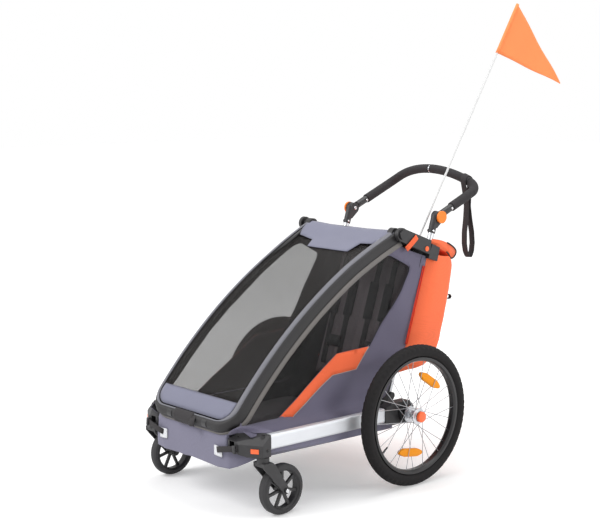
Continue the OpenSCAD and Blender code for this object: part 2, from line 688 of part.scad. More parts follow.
// Arm from the bow's pivot to the post socket, with the lower half of the handle joint and the post's foot
module roof_bracket(s) {
    arm = [roof_pivot + [3, 23], [190, 840], [181, 790], roof_pivot + [-6, -23]];
    block = [on_line(-24, 562), on_line(20, 558), on_line(22, 508), on_line(-26, 508)];
    pole_web = [pole_foot + [-2, 8], on_pole_side(44), on_line(0, 556), on_line(-20, 512)];
    joint = [on_line(-6, 672), on_line(-6, 620), on_line(11, 626), handle_pivot + [12, -17],
        handle_pivot + [-2, 21]];
    cheek = 13.5;
    foot = [on_line(-16, 300), on_line(-16, 348), on_line(13, 348), on_line(13, 300)];
    color(black) from_axle() side(s) difference() {
        union() {
            across(bracket_x[0], bracket_x[1]) union() {
                polygon(arm);
                spot(roof_pivot, 24);
            }
            across(post_x - 17, bracket_x[1]) polygon(block);
            across(post_x - 17, post_x + 17) polygon(rounded(foot, 5));
            across(post_x - cheek, post_x + cheek) union() {
                polygon(joint);
                spot(handle_pivot, 21);
            }
            translate([post_x, 0, 0]) on_upright() translate([0, 0, 604]) cylinder(h = 68, r = cheek);
            if (s > 0) across(pole_x, post_x - 16) polygon(pole_web);
            if (s > 0) at_pole() cylinder(h = 46, r = 9);
        }
        bar_x(bracket_x[0] - 1, bracket_x[1] + 1, 6 + run_gap, roof_pivot);
        translate([post_x, 0, 0]) on_upright() translate([0, 0, post_low]) cylinder(h = post_high - post_low, r = tube_r);
        bar_x(post_x - 8.5, post_x + 8.5, 23, handle_pivot);
        translate([post_x - 8.5, handle_pivot[0], handle_pivot[1] - 8]) cube([17, 60, 60]);
        bar_x(post_x + 8.8, post_x + 21, 5, handle_pivot);
        bar_x(bracket_x[1] - 10, bracket_x[1] + 1, 9.3, lock_at);
        if (s > 0) at_pole() translate([0, 0, 4]) cylinder(h = pole_len, r = pole_r + run_gap);
    }
    color(black) from_axle() side(s) bar_x(post_x - 8.6, post_x + 8.6, 8, handle_pivot);
}

module at_pole() translate([pole_x, pole_foot[0], pole_foot[1]]) rotate([-pole_lean, 0, 0]) children();

module roof_bracket_left() roof_bracket(1);
module roof_bracket_right() roof_bracket(-1);

// Orange pull straps looped over the bracket arms
module pull_straps() {
    low = 812;
    high = 880;
    web_t = 2.5;
    arm_w = bracket_x[1] - bracket_x[0] + 1;
    color(orange) from_axle() both_sides() translate([bracket_x[0] - 0.5, 116, low]) rotate([90, 0, 0])
        linear_extrude(20) difference() {
            translate([-web_t, 0]) square([arm_w + 2 * web_t, high - low]);
            translate([0, -web_t]) square([arm_w, high - low]);
        }
}

module handle_posts() color(silver) from_axle() both_sides() translate([post_x, 0, 0]) on_upright()
    translate([0, 0, post_low]) cylinder(h = post_high - post_low, r = tube_r);

module flag_pole() color(silver) from_axle() at_pole() translate([0, 0, 4]) cylinder(h = pole_len - 4, r = pole_r);

module flag_pennant() color(flag_orange) from_axle() slab(pennant_sheet(pennant_t), pennant_sheet(-pennant_t));

// Rear roof sheet between the brackets, with the bag's lid and its rolled edge
module rear_roof() {
    roof = [[58, 884], [206, 842], [238, 826], [238, 822], [206, 838], [58, 880]];
    lid = [[238, 826], [306, 798], [306, 794], [238, 822]];
    color(slate) from_axle() {
        across(12 - bow_x, pole_x - 12) polygon(roof);
        across(-242, 242) union() {
            polygon(lid);
            spot([311, 785], 13);
        }
    }
}

// Release button in the bracket's rear end
module lock_button(s) color(orange) from_axle() side(s)
    bar_x(bracket_x[1] - 6.4, bracket_x[1] + 2.6, 9, lock_at);

module lock_button_left() lock_button(1);
module lock_button_right() lock_button(-1);

// Handlebar

module at_handle() translate([0, handle_pivot[0], handle_pivot[1]]) rotate([handle_tilt, 0, 0]) children();

// The bar's shape in its own plane: y along the side tubes, x across
module at_handle_corner() translate([post_x, handle_len - handle_corner_r, 0]) rotate([0, handle_arch, 0]) children();
module at_arch(a) translate([0, handle_len, arch_low]) rotate([90, 0, 0]) rotate([0, 0, 90 - a]) children();

module handle_path(r, start, gap) {
    seam = 0.5;
    both_sides() {
        translate([post_x, start, 0]) rotate([-90, 0, 0])
            cylinder(h = handle_len - handle_corner_r - seam - start, r = r);
        at_handle_corner() translate([-handle_corner_r, 0, 0]) rotate_extrude(angle = 89) spot([handle_corner_r, 0], r);
        at_arch(handle_arch - 0.15) rotate_extrude(angle = handle_arch - 0.15 - gap / arch_r * 180 / PI)
            spot([arch_r, 0], r);
    }
}

module handle_tube() color(silver) from_axle() at_handle() {
    plug_r = tube_r - 1.2;
    handle_path(tube_r, 28, 0.5);
    both_sides() at_handle_corner() {
        translate([0, -8, 0]) rotate([-90, 0, 0]) cylinder(h = 15, r = plug_r);
        bar_x(-handle_corner_r - 9, -handle_corner_r + 9, plug_r, [handle_corner_r, 0]);
    }
    bar_x(-9, 9, plug_r, [handle_len, arch_low + arch_r]);
}

module handle_eyes() color(black) from_axle() at_handle() both_sides() difference() {
    union() {
        bar_x(post_x - 8, post_x + 8, 20, [0, 0]);
        translate([post_x - 8, 0, -9]) cube([16, 26, 18]);
        translate([post_x, 24.5, 0]) rotate([-90, 0, 0]) cylinder(h = 53, r = tube_r + 2.5);
    }
    bar_x(post_x - 9, post_x + 9, 8 + run_gap, [0, 0]);
    translate([post_x, 28, 0]) rotate([-90, 0, 0]) cylinder(h = 60, r = tube_r);
}

module grips() color(black) from_axle() at_handle() difference() {
    handle_path(grip_r, grip_start, grip_gap / 2);
    handle_path(tube_r, grip_start - 1, grip_gap / 2 - 1);
}

// Release button of the handle joint
module joint_button(s) color(orange) from_axle() side(s) {
    bar_x(post_x + 13.2, post_x + 19, 4.9, handle_pivot);
    bar_x(post_x + 18, post_x + 24.5, 22.5, handle_pivot);
}

module joint_button_left() joint_button(1);
module joint_button_right() joint_button(-1);

// Webbing loop that hangs from the cross grip
module wrist_strap() {
    strap_x = 165;
    rise = arch_low + sqrt(pow(arch_r, 2) - pow(strap_x, 2));
    bar = handle_pivot + turned([handle_len, rise], handle_tilt);
    in_r = grip_r + 7;
    out_r = in_r + 2.2;
    drop = 277;
    function loop(r, sag) = [bar + [-r, 0], bar + [-r * 0.75, -drop + 30], bar + [-r * 0.4, -drop - sag],
        bar + [r * 0.4, -drop - sag], bar + [r * 0.75, -drop + 30], bar + [r, 0]];
    color(black) from_axle() across(strap_x - 10, strap_x + 10) difference() {
        union() {
            spot(bar, out_r);
            polygon(loop(out_r, 2));
        }
        spot(bar, in_r);
        polygon(loop(in_r, 0));
    }
}

rail_left();
rail_right();
front_corner_left();
front_corner_right();
front_crossbar();
axle_beam();
floor_hoop();
rear_knuckle_left();
rear_knuckle_right();
tub();
seat_cushion();
front_straps();
stub_axles();
side_panel_left();
side_panel_right();
side_windows();
upright_frame();
backrest();
harness();
rear_bag();
tyre_left();
rim_left();
spokes_left();
hub_left();
bearings_left();
reflectors_left();
tyre_right();
rim_right();
spokes_right();
hub_right();
bearings_right();
reflectors_right();
axle_button_left();
axle_button_right();
caster_fork_left();
caster_fork_right();
caster_wheel_left();
caster_wheel_right();
caster_tyre_left();
caster_tyre_right();
corner_button_left();
corner_button_right();
bow_frame();
front_cover();
roof_flap();
roof_bracket_left();
roof_bracket_right();
pull_straps();
handle_posts();
flag_pole();
flag_pennant();
rear_roof();
lock_button_left();
lock_button_right();
handle_tube();
handle_eyes();
grips();
joint_button_left();
joint_button_right();
wrist_strap();
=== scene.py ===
import math
import bpy
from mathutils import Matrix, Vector, noise
from mathutils.geometry import delaunay_2d_cdt


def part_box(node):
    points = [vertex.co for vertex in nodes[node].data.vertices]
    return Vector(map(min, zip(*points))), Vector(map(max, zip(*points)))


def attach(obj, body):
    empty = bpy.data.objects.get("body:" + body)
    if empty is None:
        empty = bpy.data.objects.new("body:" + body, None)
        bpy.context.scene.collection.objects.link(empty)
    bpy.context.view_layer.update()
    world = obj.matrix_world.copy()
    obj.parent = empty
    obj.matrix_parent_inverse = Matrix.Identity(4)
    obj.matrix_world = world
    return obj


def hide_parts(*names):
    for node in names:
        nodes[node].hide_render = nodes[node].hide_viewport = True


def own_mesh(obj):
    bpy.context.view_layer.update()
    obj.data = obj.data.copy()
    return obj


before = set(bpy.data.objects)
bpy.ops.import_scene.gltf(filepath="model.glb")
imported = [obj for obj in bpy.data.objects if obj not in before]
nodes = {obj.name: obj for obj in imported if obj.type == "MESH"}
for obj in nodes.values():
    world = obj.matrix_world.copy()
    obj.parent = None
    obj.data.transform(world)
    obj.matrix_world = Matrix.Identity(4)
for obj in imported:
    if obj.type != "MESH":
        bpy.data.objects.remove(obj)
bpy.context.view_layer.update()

scene = bpy.context.scene
scene.view_settings.view_transform = "Standard"
sides = {"left": 1, "right": -1}

# the main axle is the zero of every length below: millimetres, x left, y back, z up
hubLow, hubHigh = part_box("hub_left")
axleY = (hubLow.y + hubHigh.y) / 2


def at(x, y, z):
    return Vector((x / 1000, y / 1000 + axleY, z / 1000))


def smooth(t):
    t = min(1, max(0, t))
    return t * t * (3 - 2 * t)


def mix(a, b, t):
    return a + (b - a) * t


def along(table, t):
    # straight lines between (place, value) pairs
    for (a, va), (b, vb) in zip(table, table[1:]):
        if t <= b:
            return mix(va, vb, max(0, t - a) / (b - a))
    return table[-1][1]


# frame lines that the cloth follows
bow = {"centre": (733.7, -781.0), "radius": 1790.0, "half": 214.0, "foot": 141.0, "corner": 70.0}
line = {"pivot": (45.0, 285.0), "lean": math.radians(17.7)}


def bowSide(radius, angle):
    a = math.radians(angle)
    return bow["centre"][0] + radius * math.cos(a), bow["centre"][1] + radius * math.sin(a)


def bowPoint(x, radius, angle):
    return at(x, *bowSide(radius, angle))


def onLine(across, up):
    c, s = math.cos(line["lean"]), math.sin(line["lean"])
    return line["pivot"][0] + across * c + up * s, line["pivot"][1] - across * s + up * c


footNormal = Vector((0, math.cos(math.radians(bow["foot"])), math.sin(math.radians(bow["foot"]))))
footDown = Vector((0, -math.sin(math.radians(bow["foot"])), math.cos(math.radians(bow["foot"]))))


def footPoint(x, down, out):
    return bowPoint(x, bow["radius"], bow["foot"]) + footDown * (down / 1000) + footNormal * (out / 1000)


print("frame lines ready")


# shader groups

white = (1, 1, 1, 1)
socketKinds = {"Colour": "NodeSocketColor", "Rubbed": "NodeSocketColor"}


def newGroup(name, values):
    # a group with these inputs and the three outputs that every look uses
    group = bpy.data.node_groups.new(name, "ShaderNodeTree")
    for label, value in values.items():
        kind = socketKinds.get(label, "NodeSocketFloat")
        group.interface.new_socket(label, in_out="INPUT", socket_type=kind).default_value = value
    for label in ("Colour", "Roughness", "Height"):
        kind = socketKinds.get(label, "NodeSocketFloat")
        group.interface.new_socket(label, in_out="OUTPUT", socket_type=kind)
    return group, group.nodes.new("NodeGroupInput").outputs


def addNode(tree, kind, values=(), **settings):
    # a value from another node becomes a link, any other a plain setting
    node = tree.nodes.new(kind)
    for key, value in settings.items():
        setattr(node, key, value)
    for key, value in dict(values).items():
        if isinstance(value, bpy.types.NodeSocket):
            tree.links.new(value, node.inputs[key])
        else:
            node.inputs[key].default_value = value
    return node


def mathNode(tree, operation, a, b):
    return addNode(tree, "ShaderNodeMath", {0: a, 1: b}, operation=operation).outputs[0]


def colourMix(tree, factor, a, b, blend="MIX"):
    values = {0: factor, 6: a, 7: b}
    return addNode(tree, "ShaderNodeMix", values, data_type="RGBA", blend_type=blend).outputs[2]


def shadedBy(tree, colour, tone):
    grey = addNode(tree, "ShaderNodeCombineColor", {0: tone, 1: tone, 2: tone})
    return colourMix(tree, 1.0, colour, grey.outputs[0], "MULTIPLY")


def spreadOf(tree, field, amount):
    # a noise field as a change up and down from zero
    return mathNode(tree, "MULTIPLY", mathNode(tree, "SUBTRACT", field, 0.5), amount)


def giveOut(group, colour, roughness, height):
    addNode(group, "NodeGroupOutput", {"Colour": colour, "Roughness": roughness, "Height": height})
    return group


def buildWeave():
    # crossing threads with patchy fading
    group, inn = newGroup("clothWeave", {"Colour": white, "Threads": 900, "Fade": 0.12, "Roughness": 0.8})
    place = addNode(group, "ShaderNodeTexCoord").outputs["Object"]
    waves = []
    for direction in "XYZ":
        wave = addNode(group, "ShaderNodeTexWave", {"Distortion": 0.6, "Detail": 1.0, "Vector": place,
            "Scale": inn["Threads"]}, bands_direction=direction)
        waves.append(wave.outputs["Fac"])
    crossed = mathNode(group, "ADD", mathNode(group, "ADD", waves[0], waves[1]), waves[2])
    threads = mathNode(group, "MULTIPLY", crossed, 0.333)
    patch = addNode(group, "ShaderNodeTexNoise", {"Scale": 9.0, "Detail": 4.0, "Vector": place})
    fade = spreadOf(group, patch.outputs["Fac"], inn["Fade"])
    relief = mathNode(group, "MULTIPLY", threads, 0.14)
    shade = mathNode(group, "ADD", relief, mathNode(group, "ADD", fade, 0.93))
    roughness = mathNode(group, "ADD", inn["Roughness"], fade)
    return giveOut(group, shadedBy(group, inn["Colour"], shade), roughness, threads)


def buildGrain():
    # moulded grain with rubbed, paler places
    group, inn = newGroup("mouldGrain", {"Colour": white, "Rubbed": white, "Grain": 700, "Wear": 0.25,
        "Roughness": 0.5})
    place = addNode(group, "ShaderNodeTexCoord").outputs["Object"]
    fine = addNode(group, "ShaderNodeTexNoise", {"Detail": 2.0, "Vector": place, "Scale": inn["Grain"]})
    broad = addNode(group, "ShaderNodeTexNoise", {"Scale": 26.0, "Detail": 6.0, "Roughness": 0.65,
        "Vector": place}).outputs["Fac"]
    edge = addNode(group, "ShaderNodeMapRange", {"From Min": 0.52, "From Max": 0.78, "Value": broad})
    rub = mathNode(group, "MULTIPLY", edge.outputs["Result"], inn["Wear"])
    roughness = mathNode(group, "ADD", inn["Roughness"], spreadOf(group, broad, 0.25))
    return giveOut(group, colourMix(group, rub, inn["Colour"], inn["Rubbed"]), roughness, fine.outputs["Fac"])


def buildBrushed():
    # drawn metal: long fine lines along the trailer, and slight smudges
    group, inn = newGroup("drawnMetal", {"Colour": white, "Roughness": 0.3})
    place = addNode(group, "ShaderNodeTexCoord").outputs["Object"]
    stretch = addNode(group, "ShaderNodeMapping", {"Scale": (260, 5, 260), "Vector": place}).outputs["Vector"]
    lines = addNode(group, "ShaderNodeTexNoise", {"Scale": 3.0, "Detail": 3.0,
        "Vector": stretch}).outputs["Fac"]
    smudge = addNode(group, "ShaderNodeTexNoise", {"Scale": 12.0, "Detail": 3.0, "Vector": place})
    tone = mathNode(group, "ADD", mathNode(group, "MULTIPLY", lines, 0.12), 0.92)
    roughness = mathNode(group, "ADD", inn["Roughness"], spreadOf(group, smudge.outputs["Fac"], 0.2))
    return giveOut(group, shadedBy(group, inn["Colour"], tone), roughness, lines)


weaveGroup, grainGroup, brushedGroup = buildWeave(), buildGrain(), buildBrushed()
print("shader groups ready")


def tint(code):
    # a screen colour as the shader wants it
    parts = [int(code[k:k + 2], 16) / 255 for k in (1, 3, 5)]
    return tuple(c / 12.92 if c <= 0.04045 else ((c + 0.055) / 1.055) ** 2.4 for c in parts) + (1,)


def finish(name, group, values, bump, **shader):
    bumpDepth = 0.0004
    material = bpy.data.materials.new(name)
    material.use_nodes = True
    tree = material.node_tree
    surface = tree.nodes["Principled BSDF"]
    for key, value in shader.items():
        surface.inputs[key.replace("_", " ")].default_value = value
    detail = addNode(tree, "ShaderNodeGroup", values, node_tree=group).outputs
    tree.links.new(detail["Colour"], surface.inputs["Base Color"])
    tree.links.new(detail["Roughness"], surface.inputs["Roughness"])
    if bump:
        relief = {"Strength": bump, "Distance": bumpDepth, "Height": detail["Height"]}
        tree.links.new(addNode(tree, "ShaderNodeBump", relief).outputs["Normal"], surface.inputs["Normal"])
    return material


def cloth(name, code, threads=1500, fade=0.14, roughness=0.82, bump=0.35, **shader):
    return finish(name, weaveGroup, {"Colour": tint(code), "Threads": threads, "Fade": fade,
        "Roughness": roughness}, bump, **shader)


def moulding(name, code, rubbed, grain=900, wear=0.3, roughness=0.5, bump=0.2, **shader):
    return finish(name, grainGroup, {"Colour": tint(code), "Rubbed": tint(rubbed), "Grain": grain,
        "Wear": wear, "Roughness": roughness}, bump, **shader)


def metal(name, code, roughness=0.3, bump=0.05, **shader):
    return finish(name, brushedGroup, {"Colour": tint(code), "Roughness": roughness}, bump,
        Metallic=1.0, **shader)


looks = {
    "slate": cloth("slateCloth", "#635f73", Sheen_Weight=0.15),
    # lining: the real dark grey lining, its colour partly painted shade for the shaded inside of the cabin
    "lining": cloth("darkLiningPaintedShade", "#1b191c"),
    "lilac": cloth("lilacCloth", "#747587", Sheen_Weight=0.15),
    # apron: the slate cloth painted lighter, a painted light for the stronger light on the front-facing apron
    "apron": cloth("slateClothPaintedLight", "#757386", Sheen_Weight=0.15),
    "orange": cloth("orangeCloth", "#ff7446", Sheen_Weight=0.1),
    "stripe": cloth("stripeCloth", "#f26a3e"),
    "flag": cloth("flagCloth", "#fb8d52", threads=1100),
    "seam": cloth("seamTape", "#e8381c"),
    "band": cloth("bowBand", "#1b191b", roughness=0.6),
    "trim": cloth("greyTrim", "#6b6b72", roughness=0.55),
    "lowTrim": cloth("lowTrim", "#6a6663", roughness=0.55),
    "piping": cloth("palePiping", "#a9a09b", roughness=0.6),
    "film": moulding("coverMesh", "#15100e", "#1a1411", roughness=0.45, bump=0, Alpha=0.36,
        Specular_IOR_Level=0.35),
    "window": moulding("windowMesh", "#0e0d0e", "#141314", roughness=0.45, bump=0, Alpha=0.25),
    "webbing": cloth("blackWebbing", "#2a2729", threads=1100, bump=0.6),
    "orangeWebbing": cloth("orangeWebbing", "#f4673a", threads=1100, bump=0.6),
    "seat": cloth("seatCloth", "#4a4548"),
    "backPanel": cloth("backCloth", "#7a7074"),
    "tab": cloth("reflectiveTab", "#d9dade", threads=700, roughness=0.35),
    "black": moulding("blackMoulding", "#262527", "#4b4a4c"),
    "tube": moulding("blackTube", "#212022", "#3b3b3e", grain=1500, roughness=0.4, bump=0.08),
    "rim": moulding("blackRim", "#1f1e20", "#39393c", roughness=0.35, bump=0.05),
    "rubber": moulding("tyreRubber", "#171516", "#2e2b2a", grain=500, wear=0.35, roughness=0.75,
        bump=0.3, Specular_IOR_Level=0.25),
    "softRubber": moulding("casterRubber", "#2c2b2d", "#4d4a49", grain=500, roughness=0.7, bump=0.3),
    "foam": moulding("gripFoam", "#2b292b", "#474547", grain=1300, roughness=0.9, bump=0.6),
    "button": moulding("orangeButton", "#ff6a30", "#ff9a68", wear=0.2, roughness=0.38, bump=0.08,
        Coat_Weight=0.15),
    "jointButton": moulding("jointButton", "#ff8418", "#ffa24a", wear=0.2, roughness=0.4, bump=0.08,
        Coat_Weight=0.1),
    "amber": moulding("amberLens", "#f09404", "#ffae1c", grain=260, wear=0.3, roughness=0.4,
        bump=0.5, Specular_IOR_Level=0.25),
    "pole": moulding("whiteRod", "#d3d3d3", "#dfdfdf", roughness=0.4, bump=0.05),
    "rail": metal("satinRail", "#d3d5d9", roughness=0.55),
    "bright": metal("brightTube", "#c6c8cc", roughness=0.3),
    "steel": metal("turnedSteel", "#b9bbbf", roughness=0.3),
    "spoke": metal("spokeWire", "#a7a8ab", roughness=0.32),
    "hub": metal("hubMetal", "#c9cbcf", roughness=0.3),
    "screw": metal("screwHead", "#d5d6d8", roughness=0.22),
}

cadLooks = {
    "rail": ["rail_left", "rail_right"],
    "bright": ["handle_tube", "handle_posts", "upright_frame", "floor_hoop"],
    "steel": ["stub_axles", "bearings_left", "bearings_right"],
    "black": ["front_corner", "rear_knuckle", "caster_fork", "caster_wheel", "roof_bracket"],
    "tube": ["bow_frame", "front_crossbar", "axle_beam", "handle_eyes"],
    "rim": ["rim"], "spoke": ["spokes"], "hub": ["hub"],
    "softRubber": ["caster_tyre"], "foam": ["grips"],
    "button": ["axle_button", "corner_button", "lock_button"], "jointButton": ["joint_button"],
    "amber": ["reflectors"], "pole": ["flag_pole"],
}
for look, names in cadLooks.items():
    for name in names:
        for node in (name, name + "_left", name + "_right"):
            if node in nodes:
                nodes[node].data.materials.clear()
                nodes[node].data.materials.append(looks[look])
print("materials ready:", len(looks))


# mesh helpers

def addPiece(name, points, faces, look, body, lining=None, flip=False):
    mesh = bpy.data.meshes.new(name)
    turned = [tuple(reversed(f)) for f in faces] if flip else faces
    mesh.from_pydata([tuple(p) for p in points], [], turned)
    mesh.materials.append(looks[look])
    if lining:
        mesh.materials.append(looks[lining])
    mesh.polygons.foreach_set("use_smooth", [True] * len(mesh.polygons))
    piece = bpy.data.objects.new(name, mesh)
    scene.collection.objects.link(piece)
    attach(piece, body)
    return piece


def thicken(piece, depth, lined=False, offset=-1.0):
    solid = piece.modifiers.new("thickness", "SOLIDIFY")
    solid.thickness = depth / 1000
    solid.offset = offset
    if lined:
        solid.material_offset = 1
    return piece


def gridFaces(rows, columns, around=False):
    faces = []
    for i in range(rows - 1):
        for j in range(columns if around else columns - 1):
            k = (j + 1) % columns
            faces.append((i * columns + j, i * columns + k, (i + 1) * columns + k, (i + 1) * columns + j))
    return faces


def cappedFaces(rows, columns):
    # rings in a row, closed at both ends
    last = (rows - 1) * columns
    ends = [tuple(range(columns - 1, -1, -1)), tuple(range(last, last + columns))]
    return gridFaces(rows, columns, True) + ends


def netOf(rows, columns, place):
    # places for t down the rows and u along each row, both from 0 to 1
    return [[place(i / rows, j / columns) for j in range(columns + 1)] for i in range(rows + 1)]


def addGrid(name, rows, look, body, lining=None, flip=False, around=False):
    points = [p for row in rows for p in row]
    return addPiece(name, points, gridFaces(len(rows), len(rows[0]), around), look, body, lining, flip)


def addLoft(name, rows, look, body, closed=False, flip=False):
    # a solid through rings of points; a closed one runs back to its first ring
    if closed:
        rows = rows + rows[:1]
    count, around = len(rows), len(rows[0])
    faces = gridFaces(count, around, True) if closed else cappedFaces(count, around)
    return addPiece(name, [p for row in rows for p in row], faces, look, body, flip=flip)


def wayAt(path, k, closed):
    ahead = path[(k + 1) % len(path)] if closed or k < len(path) - 1 else path[k]
    behind = path[k - 1] if closed or k > 0 else path[k]
    return (ahead - behind).normalized()


def addTube(name, path, radius, look, body, around=8, closed=False):
    # round piping along a path, radius in millimetres
    rows, up = [], None
    for k, p in enumerate(path):
        way = wayAt(path, k, closed)
        up = way.orthogonal().normalized() if up is None else (up - way * up.dot(way)).normalized()
        side = way.cross(up)
        rows.append([p + (up * math.cos(a) + side * math.sin(a)) * radius / 1000
            for a in (2 * math.pi * j / around for j in range(around))])
    return addLoft(name, rows, look, body, closed)


def addWebbing(name, path, across, width, depth, look, body, closed=False):
    # flat strap along a path; across is its width direction at each point or one for all
    section = ((-1, -0.5), (-0.93, -1), (0.93, -1), (1, -0.5), (1, 0.5), (0.93, 1), (-0.93, 1), (-1, 0.5))
    rows, w, t = [], width / 2000, depth / 2000
    for k, p in enumerate(path):
        way = wayAt(path, k, closed)
        wide = across[k] if isinstance(across, list) else across
        wide = (wide - way * wide.dot(way)).normalized()
        thick = way.cross(wide)
        rows.append([p + wide * a * w + thick * b * t for a, b in section])
    return addLoft(name, rows, look, body, closed)


def inside(polygon, p):
    hit = False
    for (ax, ay), (bx, by) in zip(polygon, polygon[1:] + polygon[:1]):
        if (ay > p[1]) != (by > p[1]) and p[0] < (bx - ax) * (p[1] - ay) / (by - ay) + ax:
            hit = not hit
    return hit


def densify(outline, step):
    points = []
    for a, b in zip(outline, outline[1:] + outline[:1]):
        count = max(1, round(math.dist(a, b) / step))
        points += [(mix(a[0], b[0], k / count), mix(a[1], b[1], k / count)) for k in range(count)]
    return points


def addPatch(name, outline, place, look, body, step=16, hole=None, lining=None, flip=False):
    # an even net of triangles inside an outline, put in space by place(a, b)
    evenRow, clear = 0.87, 0.6  # row height and least distance to the border, in steps
    loops = [densify(outline, step)] + ([densify(hole, step)] if hole else [])
    points, edges = [], []
    for loop in loops:
        first = len(points)
        points += loop
        edges += [(first + k, first + (k + 1) % len(loop)) for k in range(len(loop))]
    border = list(points)
    low = [min(p[k] for p in outline) for k in (0, 1)]
    high = [max(p[k] for p in outline) for k in (0, 1)]
    for j in range(1, int((high[1] - low[1]) / (step * evenRow)) + 1):
        for i in range(int((high[0] - low[0]) / step) + 2):
            p = (low[0] + (i + 0.5 * (j % 2)) * step, low[1] + j * step * evenRow)
            if not inside(outline, p) or hole and inside(hole, p):
                continue
            if min((p[0] - q[0]) ** 2 + (p[1] - q[1]) ** 2 for q in border) > (clear * step) ** 2:
                points.append(p)
    flat, _, faces, *_ = delaunay_2d_cdt([Vector(p) for p in points], edges, [], 0, 1e-5)
    kept = []
    for face in faces:
        middle = sum((flat[k] for k in face), Vector((0, 0))) / len(face)
        if inside(outline, middle) and not (hole and inside(hole, middle)):
            kept.append(tuple(face))
    return addPiece(name, [place(*p) for p in flat], kept, look, body, lining, flip)


def rounded(outline, radius, steps=4):
    # each corner as a short curve
    points = []
    for a, p, b in zip(outline[-1:] + outline[:-1], outline, outline[1:] + outline[:1]):
        p = Vector(p)
        u, w = Vector(a) - p, Vector(b) - p
        start = p + u.normalized() * min(radius, u.length * 0.45)
        end = p + w.normalized() * min(radius, w.length * 0.45)
        for k in range(steps + 1):
            t = k / steps
            points.append(tuple(start * (1 - t) ** 2 + p * 2 * t * (1 - t) + end * t * t))
    return points


def ripple(x, y, z, size, height):
    return noise.noise(Vector((x, y, z)) / size) * height


# side cloth

sideCloth = {"topZ": 840.0, "level": -30.0, "inset": 4.0, "depth": 2.0, "step": 17, "corner": 14,
    "profile": [(270, 287), (276, 270), (286, 240), (298, 230), (386, 224), (467, 221), (600, 222),
        (840, 226)],
    "ends": [(-700, -4), (-540, 0), (-150, 0), (-50, 6), (50, 18), (170, 24)],
    "creases": ((3, 120, 5), (9, 45, 1.2)), "taut": {"front": -640, "over": 60, "below": 50},
    "fold": (0, 0, 0.3), "keep": 0.3}


def sideTopZ(y):
    if y > sideCloth["level"]:
        return sideCloth["topZ"]
    reach = (bow["radius"] - sideCloth["inset"]) ** 2 - (y - bow["centre"][0]) ** 2
    return min(sideCloth["topZ"], bow["centre"][1] + math.sqrt(max(1, reach)))


def sideX(y, z):
    return along(sideCloth["profile"], z) + along(sideCloth["ends"], y)


def sidePlace(s, out=0.0, wrinkle=1.0):
    taut = sideCloth["taut"]

    def place(y, z):
        hang = wrinkle * sum(ripple(y, z, *crease) for crease in sideCloth["creases"])
        hold = smooth((y - taut["front"]) / taut["over"]) * smooth((sideTopZ(y) - z) / taut["below"])
        return at(s * (sideX(y, z) + out + hang * hold), y, z)
    return place


# outlines: y, z
windowRim = [(-652, 298), (-564, 299), (-506, 299), (-235, 478), (-85, 484), (10, 612), (52, 669), (93, 737),
    (95, 754), (3, 800)]
windowRim += [bowSide(bow["radius"] - 37, a) for a in range(116, 141, 2)] + [(-640, 316)]
panelRim = [(-664, 272), (-92, 272), (-64, 282), (-15, 299), (22, 369), (83, 466), (93, 505), (140, 652),
    (182, 781), (100, 808), (30, 838)]
panelRim += [bowSide(bow["radius"] - 12, a) for a in range(115, 141)] + [(-655, 328), (-668, 300)]
stripeRim = [(-85, 484), (-235, 478), (-506, 299), (-449, 294), (-257, 406), (-147, 412)]
# what lies on the side cloth; piping: outward, radius
sideWindow = {"out": -2.6, "wrinkle": 0.4, "depth": 0.8, "step": 24, "piping": (0.8, 1.5)}
sideStripe = {"out": 0.9, "wrinkle": 1.0, "depth": 0.8, "step": 15, "piping": (1.6, 1.3)}


def addPiping(name, s, outline, size, look, step=14):
    out, radius = size
    points = densify(outline, step)
    closing = max(1, round(math.dist(outline[-1], outline[0]) / step))
    path = [sidePlace(s, out)(*p) for p in points[:len(points) - closing + 1]]
    return addTube(name, path, radius, look, "chassis")


def addLayer(name, s, outline, layer, look):
    place = sidePlace(s, layer["out"], layer["wrinkle"])
    return thicken(addPatch(name, outline, place, look, "chassis", layer["step"], flip=s < 0), layer["depth"])


def makeSide(name, s):
    opening = rounded(windowRim, sideCloth["corner"])
    panel = addPatch("sideCloth." + name, panelRim, sidePlace(s), "slate", "chassis", sideCloth["step"],
        opening, "lining", s < 0)
    thicken(panel, sideCloth["depth"], True)
    film = addLayer("sideWindow." + name, s, windowRim, sideWindow, "window")
    stripe = addLayer("sideStripe." + name, s, stripeRim, sideStripe, "stripe")
    lowEdge, rearEdge = stripeRim[3:] + stripeRim[:1], windowRim[4:9]
    lower = addPiping("stripePiping." + name, s, lowEdge, sideStripe["piping"], "piping")
    edge = addPiping("windowPiping." + name, s, rearEdge, sideWindow["piping"], "lining")
    for piece in (panel, film, stripe, lower, edge):
        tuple(sideCloth["fold"])
        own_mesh(piece)
    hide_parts("side_panel_" + name)
    return film


films = [makeSide(name, s) for name, s in sides.items()]
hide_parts("side_windows")


# gathered corner between the bow's foot, the apron and the rail
gusset = {"rows": 10, "columns": 60, "pleat": 3.2, "pleats": 11, "fade": 0.4, "depth": 1.6,
    "push": (0.5, -0.3, 0.8),
    "low": [(198, -695, 268), (222, -676, 276), (250, -655, 279), (270, -634, 279), (285, -606, 277),
        (286, -570, 275)],
    "high": [(221, -706, 284), (224, -694, 292), (227, -682, 297), (229, -668, 299), (230, -650, 299),
        (231, -620, 298)]}


def curveAt(points, t):
    k = min(len(points) - 2, int(t * (len(points) - 1)))
    u = t * (len(points) - 1) - k
    return Vector(points[k]).lerp(Vector(points[k + 1]), u)


def gussetPlace(s):
    def place(t, v):
        p = curveAt(gusset["low"], t).lerp(curveAt(gusset["high"], t), v)
        wave = math.sin(2 * math.pi * gusset["pleats"] * t + 2 * v) * math.sin(math.pi * v)
        gather = gusset["pleat"] * wave * (1 - gusset["fade"] * t)
        x, y, z = (a + gather * b for a, b in zip(p, gusset["push"]))
        return at(s * x, y, z)
    return place


